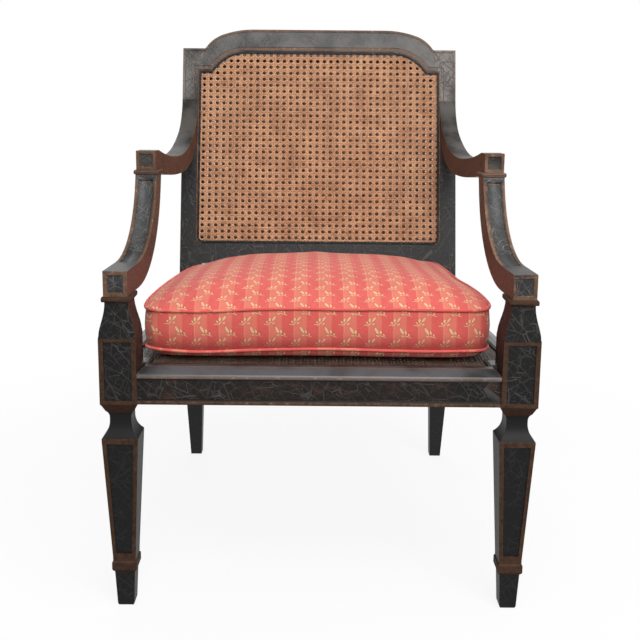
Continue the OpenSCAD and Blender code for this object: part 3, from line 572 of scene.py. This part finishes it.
# Sizes of the frame, in metres, measured from the knee blocks' front and from the floor.
RAKE = math.radians(13.5)
FRONT = cad_box[0][1]
DECK, SEAT_DEPTH, CHAIR_HEIGHT = 0.377, 0.558, 0.900
TOP = (CHAIR_HEIGHT - DECK) / math.cos(RAKE) - 0.0495
SHOULDER_DROP = 0.040
SHOULDER = TOP - SHOULDER_DROP
TOP_RADIUS, TOP_TURN, CORNER_RADIUS = 0.076, 50, 0.008
OPENING_HALF, FLANK_IN, OPENING_LOW = 0.481 / 2, 0.022, 0.112
SEAT_HALF, SEAT_TAPER, NOTCH_HALF = 0.282988, 0.07818, 0.249
SEAT_NEAR, SEAT_STEP, SEAT_FRONT, SEAT_FAR = 0.036, 0.071, 0.057, 0.550
in_back = Matrix.Translation((0, FRONT + SEAT_DEPTH, DECK)) @ Matrix.Rotation(-RAKE, 4, "X")


def back_opening(grown):
    """Outline of the caned opening in the back's own plane, grown a little under the spline."""
    wide, radius, turn = OPENING_HALF, TOP_RADIUS, math.radians(TOP_TURN)
    flank = (SHOULDER_DROP - radius * (1 - math.cos(turn))) / math.tan(turn)
    flat = wide - FLANK_IN - radius * math.sin(turn) - flank
    half = arc((flat, TOP - radius), radius + grown, 0, TOP_TURN, 8)
    fall = half[-1][1] - SHOULDER - grown
    half.append((half[-1][0] + fall / math.tan(turn), SHOULDER + grown))
    half.append((wide + grown, SHOULDER + grown))
    corner = (wide - CORNER_RADIUS, OPENING_LOW)
    return both_sides(half + arc(corner, CORNER_RADIUS + grown, 90, 180, 4))


def seat_opening(grown):
    """Outline of the seat's caned opening, seen from above."""
    def side(y):
        return SEAT_HALF - (y - SEAT_FRONT) * SEAT_TAPER + grown
    near, step, far = SEAT_NEAR - grown, SEAT_STEP - grown, SEAT_FAR + grown
    notch = NOTCH_HALF + grown
    half = [(notch, near), (notch, step), (side(step), step), (side(far), far)]
    return [(x, y + FRONT) for x, y in both_sides(half)]


print("back opening", len(back_opening(0.0)), "corners, seat opening", len(seat_opening(0.0)))

# %% [markdown]
# Split cane keeps its hard outer skin, so it is a little glossy, with streaks along each strand.
# Two nets fill the back. Through the holes of the front one shows the rear one, which lies in
# shadow; that shade is painted into its colours, a darker copy of the cane's. The seat's cane is
# dark.


# %% Cane
def cane_paint(name, light, dark, sheen):
    """Split cane: streaks along the strands, darker blotches and a hard, slightly glossy skin."""
    paint = Paint(name, Coat_Weight=sheen, Coat_Roughness=0.25)
    spot = paint.place()
    streaks = paint.noise(paint.place((1.0, 1.0, 0.08)), 700, 3, 0.6)
    strands = paint.noise(paint.place((0.05, 1.0, 1.0)), 600, 2, 0.6)
    blotch = paint.noise(spot, 26, 4, 0.6)
    grain = paint.noise(spot, 1400, 2)
    tone = (streaks * 0.5 + strands * 0.3 + blotch * 0.5 - 0.15).ramp(0.28, 0.72)
    paint.feed(Base_Color=paint.mix(tone, dark, light), Roughness=0.36 + 0.2 * grain)
    paint.relief(streaks + strands * 0.5, 0.0003)
    return paint.material


BACK_PITCH, SEAT_PITCH = (0.0136, 0.0125), (0.0108, 0.0108)
UNDER_SPLINE = 0.002
FRONT_NET_IN, REAR_NET_IN, SEAT_NET_DOWN = 0.0038, 0.0262, 0.0042
back_net = cane_paint("back_cane_skin", rgb(0.64, 0.350, 0.190), rgb(0.28, 0.115, 0.05), 0.1)
# Painted shade: the rear net gets darker colours, as it lies in the front net's shadow.
shaded_net = cane_paint("rear_cane_skin", rgb(0.34, 0.170, 0.085), rgb(0.13, 0.055, 0.026), 0.2)
seat_net = cane_paint("seat_cane_skin", rgb(0.13, 0.078, 0.05), rgb(0.012, 0.007, 0.005), 0.2)
upright = Matrix.Rotation(math.radians(90), 4, "X")
nets = [
    woven("back_weave_front", "back_cane_front", back_net, back_opening(UNDER_SPLINE), BACK_PITCH,
          2, in_back @ Matrix.Translation((0, FRONT_NET_IN, 0)) @ upright,
          width=0.0027, apart=0.0017, phase=(0.0034, -0.0040)),
    woven("back_weave_rear", "back_cane_rear", shaded_net, back_opening(UNDER_SPLINE), BACK_PITCH,
          2, in_back @ Matrix.Translation((0, REAR_NET_IN, 0)) @ upright,
          width=0.0050, apart=0.0028, phase=(0.0102, 0.0)),
    woven("seat_weave", "seat_cane", seat_net, seat_opening(UNDER_SPLINE), SEAT_PITCH, 1,
          Matrix.Translation((0, 0, DECK - SEAT_NET_DOWN)), width=0.0044, apart=0.0024),
]
print("woven", {net.name: len(net.data.polygons) for net in nets})

# %% [markdown]
# The pieces that show only a little keep their frame meshes and get their own finish: the splines
# that hold the cane are lacquered, the corner blocks and dowels are bare beech, the screws steel.


# %% Plain wood and screws
BEECH, BEECH_DARK, BEECH_FLECK = rgb(0.60, 0.40, 0.23), rgb(0.42, 0.25, 0.13), rgb(0.22, 0.11, 0.05)
STEEL, STEEL_DULL = rgb(0.30, 0.29, 0.28), rgb(0.15, 0.11, 0.08)


def beech_paint():
    """Bare beech: growth rings stretched along the grain, with short dark flecks."""
    paint = Paint("bare_beech")
    grain = paint.noise(paint.place((1.0, 0.06, 1.0)), 160, 4, 0.6)
    fleck = paint.noise(paint.place((1.0, 0.12, 1.0)), 900, 2).ramp(0.62, 0.7)
    colour = paint.mix(grain.ramp(0.3, 0.7), BEECH_DARK, BEECH)
    paint.feed(Base_Color=paint.mix(fleck * 0.5, colour, BEECH_FLECK), Roughness=0.52 + 0.2 * grain)
    paint.relief(grain, 0.0003)
    return paint.material


def steel_paint():
    """Old steel: fine turning marks and dull spots."""
    paint = Paint("screw_steel", Metallic=1.0)
    marks = paint.noise(paint.place(), 1500, 3)
    spots = paint.noise(paint.place(), 300, 4, 0.6)
    colour = paint.mix(spots.ramp(0.4, 0.65), STEEL, STEEL_DULL)
    paint.feed(Base_Color=colour, Roughness=0.3 + 0.3 * marks)
    paint.relief(marks, 0.0001)
    return paint.material


def finished(material, *names):
    """Gives frame nodes that stay as they are a better material."""
    for name in names:
        for slot in nodes[name].material_slots:
            slot.material = material


finished(beech_paint(), "rail_dowels", "back_dowels", "arm_dowels",
         *(f"corner_block_{end}_{side}" for end in ("front", "rear") for side in ("left", "right")))
finished(steel_paint(), "corner_block_screws")
finished(lacquer, "back_spline_front", "back_spline_rear", "seat_cane_spline")
print("plain pieces finished")

# %% [markdown]
# Seen from above, the cushion is a rounded trapezium, wider in front. A power of 15 rounds its
# corners, and its sides are drawn in a little between them, as a stuffed cushion's are. Every place
# on it is found by how near to the rim it is and by its angle round the middle.


# %% Cushion plan
cushion_low, cushion_high = (Vector(corner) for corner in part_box("cushion_core"))
CUSHION_MID = Vector((-0.0032, (cushion_low.y + cushion_high.y) / 2, 0))
HALF_FRONT, HALF_BACK, HALF_DEEP = 0.264, 0.237, 0.250
ROUND, DRAWN_IN, NEAR_RIM = 15, 0.003, 0.93


def plan_share(spot):
    """Where a point lies across and along the cushion, from -1 to 1."""
    y = (spot.y - CUSHION_MID.y) / HALF_DEEP
    return (spot.x - CUSHION_MID.x) / half_width(y), y


def half_width(y):
    """Half the cushion's width, from y = -1 at its front to 1 at its back."""
    return HALF_FRONT + (HALF_BACK - HALF_FRONT) * (y + 1) / 2


def plan_place(spot):
    """Where a point lies in the cushion's plan: 1 at the rim, and its compass angle."""
    x, y = plan_share(spot)
    return (abs(x) ** ROUND + abs(y) ** ROUND) ** (1 / ROUND), math.atan2(y, x)


def rim_point(angle, outwards):
    """A point on the cushion's rim by its compass angle, moved outwards."""
    cos, sin = math.cos(angle), math.sin(angle)
    reach = (abs(cos) ** ROUND + abs(sin) ** ROUND) ** (-1 / ROUND)
    y = reach * sin
    drawn = outwards - DRAWN_IN * math.cos(2 * angle) ** 2
    return CUSHION_MID + Vector(((half_width(y) + drawn) * reach * cos, (HALF_DEEP + drawn) * y, 0))


print("cushion middle", [round(place, 4) for place in CUSHION_MID])

# %% [markdown]
# The two seams rise and dip a little, as they do on a cushion that has been sat on. It has also
# sunk towards the back, most of all at its rear left corner, by up to 24 mm.


# %% Seams and sinking
SEAM_LOW, SEAM_TOP = DECK + 0.016, DECK + 0.016 + 0.063
LEFT_SINK, RIGHT_SINK, CORNER_DIP = 0.024, 0.0130, 0.0045
TOP_WAVES = ((-0.62, 0.24, -0.0030), (0.14, 0.16, -0.0012))
LOW_WAVES = ((-0.68, 0.20, -0.0030), (0.02, 0.30, 0.0018), (0.62, 0.22, -0.0010),
             (0.85, 0.30, 0.0022))


def along_front(angle, spots):
    """Dips and rises of a seam in front, each (place from -1 to 1, half length, height)."""
    if math.sin(angle) > -0.2:
        return 0.0
    place = math.cos(angle) / max(abs(math.sin(angle)), abs(math.cos(angle)))
    return sum(rise * math.exp(-(((place - middle) / half) ** 2)) for middle, half, rise in spots)


def top_seam(angle):
    """Height of the top seam, which rises along the sides and dips a little in front."""
    rise = 0.008 * max(0.0, math.cos(2 * angle)) ** 0.8
    return SEAM_TOP + rise + along_front(angle, TOP_WAVES)


def low_seam(angle):
    """Height of the bottom seam, which sags between the corners and the middle."""
    return SEAM_LOW + along_front(angle, LOW_WAVES)


def smooth(share):
    """Rises smoothly from 0 at 0 to 1 at 1."""
    share = min(1.0, max(0.0, share))
    return share * share * (3 - 2 * share)


def droop(spot):
    """How far the used cushion has sunk at a spot of its plan: most at its rear left corner."""
    x, y = plan_share(spot)
    if x < 0:
        corner = math.exp(-(((x + 1) / 0.35) ** 2) - ((y + 1) / 0.5) ** 2)
        return LEFT_SINK * min(1.0, -x) * max(0.0, (y + 0.7) / 1.7) + CORNER_DIP * corner
    return RIGHT_SINK * min(1.0, x) ** 0.8 * smooth((y + 0.7) / 0.9)


print("seams", round(low_seam(0), 4), round(top_seam(0), 4))

# %% [markdown]
# The cushion is blown up as cloth. The frame's core is copied a little larger, remeshed evenly and
# filled with pressure while its two seams are held, so the panels swell and pucker between them.


# %% Cushion mesh and simulation
SEAM_REACH, BLOWN_FRAMES, PRESSURE = 0.007, 20, 4.0


def settled(piece):
    """The piece's mesh with its modifiers worked in."""
    graph = bpy.context.evaluated_depsgraph_get()
    return bpy.data.meshes.new_from_object(piece.evaluated_get(graph))


def remeshed(name, source, grow, voxel):
    """An even mesh of a closed form, moved outwards by grow."""
    form = bmesh.new()
    form.from_mesh(source)
    bmesh.ops.remove_doubles(form, verts=form.verts, dist=0.00001)
    form.normal_update()
    moves = [(vert, vert.co + vert.normal * grow) for vert in form.verts]
    for vert, spot in moves:
        vert.co = spot
    piece = new_piece(name, as_mesh(form, name))
    remesh = piece.modifiers.new("remesh", "REMESH")
    remesh.mode, remesh.voxel_size = "VOXEL", voxel
    even = settled(piece)
    piece.modifiers.clear()
    piece.data = even
    return piece


def seam_distance(spot):
    """How far a point is from the nearer seam, and that seam's height and angle."""
    rim, angle = plan_place(spot)
    height = min(low_seam(angle), top_seam(angle), key=lambda seam: abs(spot.z - seam))
    return math.hypot((1 - rim) * HALF_DEEP, spot.z - height), height, angle


def gathered(piece, drawn_in):
    """Pulls the rim on to the seams and draws the panels in, so that they can swell."""
    normals = [vert.normal.copy() for vert in piece.data.vertices]
    for vert, normal in zip(piece.data.vertices, normals):
        away, height, angle = seam_distance(vert.co)
        if away < SEAM_REACH:
            rim = rim_point(angle, -0.0022)
            vert.co = (rim.x, rim.y, height + (vert.co.z - height) * 0.5)
        else:
            share = min(1.0, (away - SEAM_REACH) / 0.030)
            vert.co = vert.co - normal * drawn_in * abs(normal.z) * share


def inflated(piece):
    """Runs the cloth with its seams held and its gravity off."""
    held = piece.vertex_groups.new(name="seams")
    for vert in piece.data.vertices:
        away, *_ = seam_distance(vert.co)
        if away < 0.005 or vert.co.z < cushion_low.z + 0.006:
            held.add([vert.index], 1.0, "REPLACE")
    cloth = piece.modifiers.new("cloth", "CLOTH")
    cloth.point_cache.frame_start, cloth.point_cache.frame_end = 1, BLOWN_FRAMES
    settings = cloth.settings
    settings.quality, settings.mass, settings.vertex_group_mass = 5, 0.3, "seams"
    settings.tension_stiffness, settings.compression_stiffness = 12, 6
    settings.shear_stiffness, settings.bending_stiffness = 4, 0.25
    settings.use_pressure, settings.uniform_pressure_force = True, PRESSURE
    settings.effector_weights.gravity = 0
    for frame_number in range(1, BLOWN_FRAMES + 1):
        scene.frame_set(frame_number)
    blown = settled(piece)
    scene.frame_set(1)
    piece.modifiers.clear()
    piece.vertex_groups.clear()
    piece.data = blown


core = nodes["cushion_core"].data
cushion = remeshed("cushion_body", core, 0.0014, 0.006)
gathered(cushion, 0.005)
inflated(cushion)
print("cushion points", len(cushion.data.vertices))

# %% [markdown]
# Pressure alone leaves the boxing flatter than a firm filling does, so it is swelled a little more
# between the seams. No point may leave the space that the frame keeps for the cushion, so those
# that do are drawn back, and then the whole of it sinks.


# %% Cushion filling
BULGE, ROOM_ROUND = 0.0055, 0.0016


def filled_out(piece):
    """Swells the boxing between its seams, most a little above its middle."""
    for vert in piece.data.vertices:
        rim, angle = plan_place(vert.co)
        share = (vert.co.z - low_seam(angle)) / (top_seam(angle) - low_seam(angle))
        if rim > NEAR_RIM and 0 < share < 1:
            outwards = (rim_point(angle, 0.01) - rim_point(angle, 0)).normalized()
            vert.co += outwards * BULGE * math.sin(math.pi * share ** 1.3) ** 0.8


def kept_inside(piece, source, margin):
    """Draws back every point that lies further than margin outside the source."""
    shell = bmesh.new()
    shell.from_mesh(source)
    bmesh.ops.remove_doubles(shell, verts=shell.verts, dist=0.00001)
    tree = BVHTree.FromBMesh(shell)
    drawn = 0
    for vert in piece.data.vertices:
        spot, normal, *_ = tree.find_nearest(vert.co)
        if (vert.co - spot).dot(normal) > margin:
            vert.co = spot + normal * margin
            drawn += 1
    shell.free()
    return drawn


def sunk(piece):
    """Lets the cushion sink by its droop, all of it at the top and none at the bottom."""
    for vert in piece.data.vertices:
        share = (vert.co.z - cushion_low.z) / (SEAM_TOP - cushion_low.z)
        vert.co.z -= droop(vert.co) * smooth(share)


filled_out(cushion)
print("points drawn back", kept_inside(cushion, core, ROOM_ROUND))
sunk(cushion)

# %% [markdown]
# Pattern coordinates are written into the mesh, in metres: across and along the cloth on the top
# and bottom, and across and up it on the boxing, so the stripes run front to back over the top and
# down the front. The object's own place serves as the pattern's, so nothing has to be unwrapped.


# %% Cloth layout
def laid_out(piece):
    """Writes where each point of the cloth lies in its pattern, and rounds the mesh once more."""
    form = bmesh.new()
    form.from_mesh(piece.data)
    layer = form.loops.layers.uv.new("cloth")
    for face in form.faces:
        face.smooth = True
        spot = face.calc_center_median()
        rim, angle = plan_place(spot)
        across, up = 0, 1
        if rim > NEAR_RIM and low_seam(angle) < spot.z < top_seam(angle) - droop(spot):
            across, up = (1, 2) if abs(math.cos(angle)) > abs(math.sin(angle)) else (0, 2)
        for loop in face.loops:
            loop[layer].uv = (loop.vert.co[across], loop.vert.co[up])
    form.to_mesh(piece.data)
    form.free()
    rounder = piece.modifiers.new("rounder", "SUBSURF")
    rounder.levels = rounder.render_levels = 1


laid_out(cushion)
stands_for(cushion, "cushion_cover", "cushion_core")
print("cushion faces", len(cushion.data.polygons))

# %% [markdown]
# A welt is a cord covered with the cushion's cloth and sewn into the seam. A closed curve with a
# round bevel makes it in one go, with a little unevenness, and is then turned into a mesh, because
# a curve's own bounds are larger than what it shows.


# %% Welts
WELT_RADIUS, WELT_POINTS = 0.0023, 240


def welt(name, node, height, wobble):
    """A round cord along a seam: one closed curve with a bevel, made into a mesh."""
    data = bpy.data.curves.new(name, "CURVE")
    data.dimensions, data.resolution_u = "3D", 2
    data.bevel_depth, data.bevel_resolution = WELT_RADIUS, 3
    spline = data.splines.new("NURBS")
    spline.points.add(WELT_POINTS - 1)
    per_side = WELT_POINTS // 4
    for i, point in enumerate(spline.points):
        share = (2 * (i % per_side) + 1) / per_side - 1
        bunched = share * (0.4 + 0.6 * share * share)
        angle = math.radians(90 * (i // per_side) + 45 + 45 * bunched)
        spot = rim_point(angle, -0.0004)
        quick_bob = 0.6 * math.sin(13.1 * angle) * math.sin(2 * angle)
        bob = wobble * (math.sin(5.3 * angle + 0.6) + quick_bob)
        sunk_by = droop(spot) if height is top_seam else 0.0
        point.co = (spot.x, spot.y, height(angle) + bob - sunk_by, 1)
    spline.use_cyclic_u = True
    spline.order_u = 3
    route = new_piece(name + "_route", data)
    piece = new_piece(name, settled(route))
    bpy.data.objects.remove(route)
    return stands_for(piece, node)


top_welt = welt("cushion_top_welt", "cushion_welt_top", top_seam, 0.0003)
low_welt = welt("cushion_low_welt", "cushion_welt_bottom", low_seam, 0.0005)
print("welt faces", len(top_welt.data.polygons), len(low_welt.data.polygons))

# %% [markdown]
# The cloth is a coral cotton with peach stripes, each with a pale line at its left edge, and small
# cream sprigs that face right and left by turns. A sprig is six or five ellipses in one tile of the
# stripe, its leaves and a stalk: a shader can tell how far a point is from an ellipse with a few
# sums, so no picture is needed. Each row gives a leaf's middle, its half length and half width, in
# metres, and its turn in degrees. The leaves are drawn a quarter fuller than their rows say.


# %% Sprigs
STRIPE, REPEAT = 0.0369, 0.0325
FULLER = 1.25
RIGHT_SPRIG = (
    ((0.0047, 0.0039), (0.0041, 0.0012), 54),
    ((-0.0014, 0.0026), (0.0028, 0.0013), 83),
    ((-0.0052, -0.0010), (0.0019, 0.0009), 132),
    ((0.0042, -0.0030), (0.0023, 0.0008), 35),
    ((-0.0014, -0.0030), (0.0050, 0.0005), 40),
    ((-0.0070, -0.0044), (0.0032, 0.0004), 2),
)
LEFT_SPRIG = (
    ((-0.0048, 0.0030), (0.0054, 0.0014), 119),
    ((0.0010, 0.0008), (0.0029, 0.0012), 101),
    ((0.0060, -0.0030), (0.0020, 0.0008), 112),
    ((-0.0034, -0.0046), (0.0024, 0.0007), 150),
    ((0.0040, -0.0052), (0.0066, 0.0004), 162),
)
RIGHT_PLACE, LEFT_PLACE = (0.0033, 0.0155), (0.0174, -0.0007)


def leaf(x, y, middle, halves, turn):
    """Distance from a leaf's middle, 1 at its edge: a leaf is an ellipse turned by some degrees."""
    cos, sin = math.cos(math.radians(turn)), math.sin(math.radians(turn))
    dx, dy = x - middle[0], y - middle[1]
    along = (dx * cos + dy * sin) / halves[0]
    over = (dy * cos - dx * sin) / (halves[1] * FULLER)
    return along * along + over * over


def sprig(across, up, middle, leaves):
    """One sprig in its tile: 1 or less inside its leaves."""
    x = (across / STRIPE - (middle[0] / STRIPE - 0.5)).part() * STRIPE - STRIPE / 2
    y = (up / REPEAT - (middle[1] / REPEAT - 0.5)).part() * REPEAT - REPEAT / 2
    nearest = leaf(x, y, *leaves[0])
    for row in leaves[1:]:
        nearest = nearest.least(leaf(x, y, *row))
    return nearest


print("leaves of the sprigs", len(RIGHT_SPRIG), len(LEFT_SPRIG))

# %% [markdown]
# A fine weave and soft slubs roughen the cloth. Along its lower seam the boxing has painted shade,
# and the welts are cut from the plain coral, with a few peach runs where the cloth was cut askew.


# %% Striped cloth
CORAL = rgb(0.65, 0.102, 0.088)
PEACH = rgb(0.70, 0.205, 0.140)
CREAM = rgb(0.77, 0.53, 0.29)
SPRIG_SHADE = rgb(0.50, 0.125, 0.075)
LOW_SHADE = rgb(0.26, 0.024, 0.020)
DEEP_CORAL = rgb(0.36, 0.03, 0.03)
PALE_SLUB = rgb(0.80, 0.26, 0.20)


def pattern(paint, weave):
    """The stripes, lines and sprigs of the cushion's cloth, and where its sprigs are."""
    spot = paint.bent(paint.node("ShaderNodeUVMap", {"uv_map": "cloth"}), 70.0, (0.0016, 0.0016, 0))
    across, up = paint.axis(spot, "X") + 0.0010, paint.axis(spot, "Y")
    tile = (across / STRIPE).part()
    stripe = tile.ramp(0.0, 0.05) * tile.ramp(0.57, 0.50)
    line = tile.ramp(0.0, 0.02) * tile.ramp(0.06, 0.04)
    nearest = sprig(across, up, RIGHT_PLACE, RIGHT_SPRIG).least(
        sprig(across, up, LEFT_PLACE, LEFT_SPRIG))
    sprigs = nearest.ramp(1.3, 0.8)
    colour = paint.mix(stripe * 0.72 + line * 0.15, CORAL, PEACH)
    colour = paint.mix(line * 0.18, colour, CREAM)
    # Painted shadow: a darker ring round each raised sprig.
    colour = paint.mix(nearest.ramp(3.2, 1.4) * 0.45, colour, SPRIG_SHADE)
    colour = paint.mix(sprigs * (0.80 + 0.20 * weave), colour, CREAM)
    # Painted shade: the boxing darkens towards its lower seam, which faces down, away from the
    # lamps.
    low_shade = up.ramp(SEAM_LOW + 0.030, SEAM_LOW) * up.ramp(SEAM_LOW - 0.012, SEAM_LOW - 0.002)
    return paint.mix(low_shade * 0.85, colour, LOW_SHADE), sprigs


def cloth_paint(name, striped):
    """Cotton cloth, striped for the cushion or nearly plain for its welts."""
    paint = Paint(name, Specular_IOR_Level=0.25, Sheen_Weight=0.12)
    plain = paint.place()
    weave = paint.noise(plain, 1500, 2)
    slub = paint.noise(paint.place((1.0, 0.15, 1.0)), 420, 3)
    blotch = paint.noise(plain, 24, 3)
    height = weave * 0.6 + slub * 0.4
    if striped:
        colour, sprigs = pattern(paint, weave)
        height = height + sprigs * 0.8
    else:
        runs = paint.noise(paint.place((1.0, 1.0, 0.2)), 60, 2)
        colour = paint.mix(runs.ramp(0.5, 0.62), CORAL, PEACH)
    colour = paint.mix((0.62 - blotch).ramp(0.0, 0.25) * 0.12, colour, DEEP_CORAL)
    colour = paint.mix(slub.ramp(0.45, 0.75) * 0.18, colour, PALE_SLUB)
    paint.feed(Base_Color=colour, Roughness=0.78 + 0.15 * weave)
    paint.relief(height, 0.0004)
    return paint.material


painted(cushion, cloth_paint("striped_cotton", True))
for cord in (top_welt, low_welt):
    painted(cord, cloth_paint(cord.name + "_cloth", False))
print("cloth ready")

# %% [markdown]
# The floor and the world are white where the camera or a reflection shows them. The light that
# falls on the chair comes from a darker dome, brighter towards its top, so that the black stays
# black. The floor keeps a faint shadow and fades into the white world at a distance.


# %% Floor and world
DARK_FLOOR, PALE_FLOOR = rgb(0.07, 0.07, 0.07), rgb(0.86, 0.86, 0.86)
WHITE = rgb(1, 1, 1)


def shown(paint):
    """1 for rays that show the background, and 0 for those that light the chair."""
    ways = paint.node("ShaderNodeLightPath", {}).socket.node.outputs
    kinds = [Signal(paint, ways[f"Is {kind} Ray"]) for kind in ("Camera", "Glossy", "Transmission")]
    return kinds[0].most(kinds[1]).most(kinds[2])


def white_ground(name):
    """White where the background shows, with a faint shadow, and dark to the chair's own light."""
    paint = Paint(name, Roughness=0.9, Specular_IOR_Level=0.0)
    seen = shown(paint)
    paint.feed(Base_Color=paint.mix(seen, DARK_FLOOR, PALE_FLOOR))
    spot = paint.node("ShaderNodeTexCoord", {}, out="Object")
    length = paint.node("ShaderNodeVectorMath", {"operation": "LENGTH"}, spot, out="Value")
    glow = paint.node("ShaderNodeEmission", {}, WHITE, 1.0)
    blend = paint.node("ShaderNodeMixShader", {}, seen * (0.88 + 0.12 * length.ramp(0.5, 1.3)),
                       Signal(paint, paint.shader.outputs[0]), glow)
    paint.tree.links.new(blend.socket, paint.tree.nodes["Material Output"].inputs[0])
    return paint.material


class Studio(Paint):
    """The world's own nodes, added in the same way as a material's."""

    def __init__(self, world):
        world.use_nodes = True
        self.tree = world.node_tree
        self.shader = self.tree.nodes["Background"]


floor_mesh = bmesh.new()
bmesh.ops.create_grid(floor_mesh, x_segments=1, y_segments=1, size=30)
floor = painted(new_piece("floor", as_mesh(floor_mesh, "floor")), white_ground("floor_white"))

scene.world = bpy.data.worlds.new("studio")
studio = Studio(scene.world)
looks = shown(studio)
high = studio.axis(studio.node("ShaderNodeTexCoord", {}, out="Generated"), "Z")
dome = 0.03 + 0.13 * high.ramp(-0.15, 0.20) + 0.34 * high.ramp(0.20, 0.75)
studio.shader.inputs["Color"].default_value = WHITE
studio.feed(Strength=dome * (1 - looks) + looks)
print("floor and world ready")

# %% [markdown]
# Four soft lamps light the chair, as in a studio: a large one high in front gives most of the
# light, and weaker ones overhead, at the right and behind open up the shadows. Each is given its
# place, what it points at, its size in metres and its power in watts.


# %% Lamps
def lamp(name, spot, target, size, power):
    data = bpy.data.lights.new(name, "AREA")
    data.size, data.energy = size, power
    made = new_piece(name, data)
    aim = (Vector(target) - Vector(spot)).to_track_quat("-Z", "Y")
    made.matrix_world = Matrix.Translation(spot) @ aim.to_matrix().to_4x4()


lamp("front", (0.60, -2.50, 2.30), (0, 0, 0.5), 2.4, 88)
lamp("overhead", (0.15, -1.20, 2.60), (0, 0, 0.4), 1.4, 8)
lamp("side", (1.90, -1.80, 1.00), (0, 0, 0.4), 1.2, 13)
lamp("behind", (-0.30, 1.90, 2.40), (0, 0, 0.6), 1.4, 16)
scene.view_settings.view_transform = "Standard"
print("lamps ready")
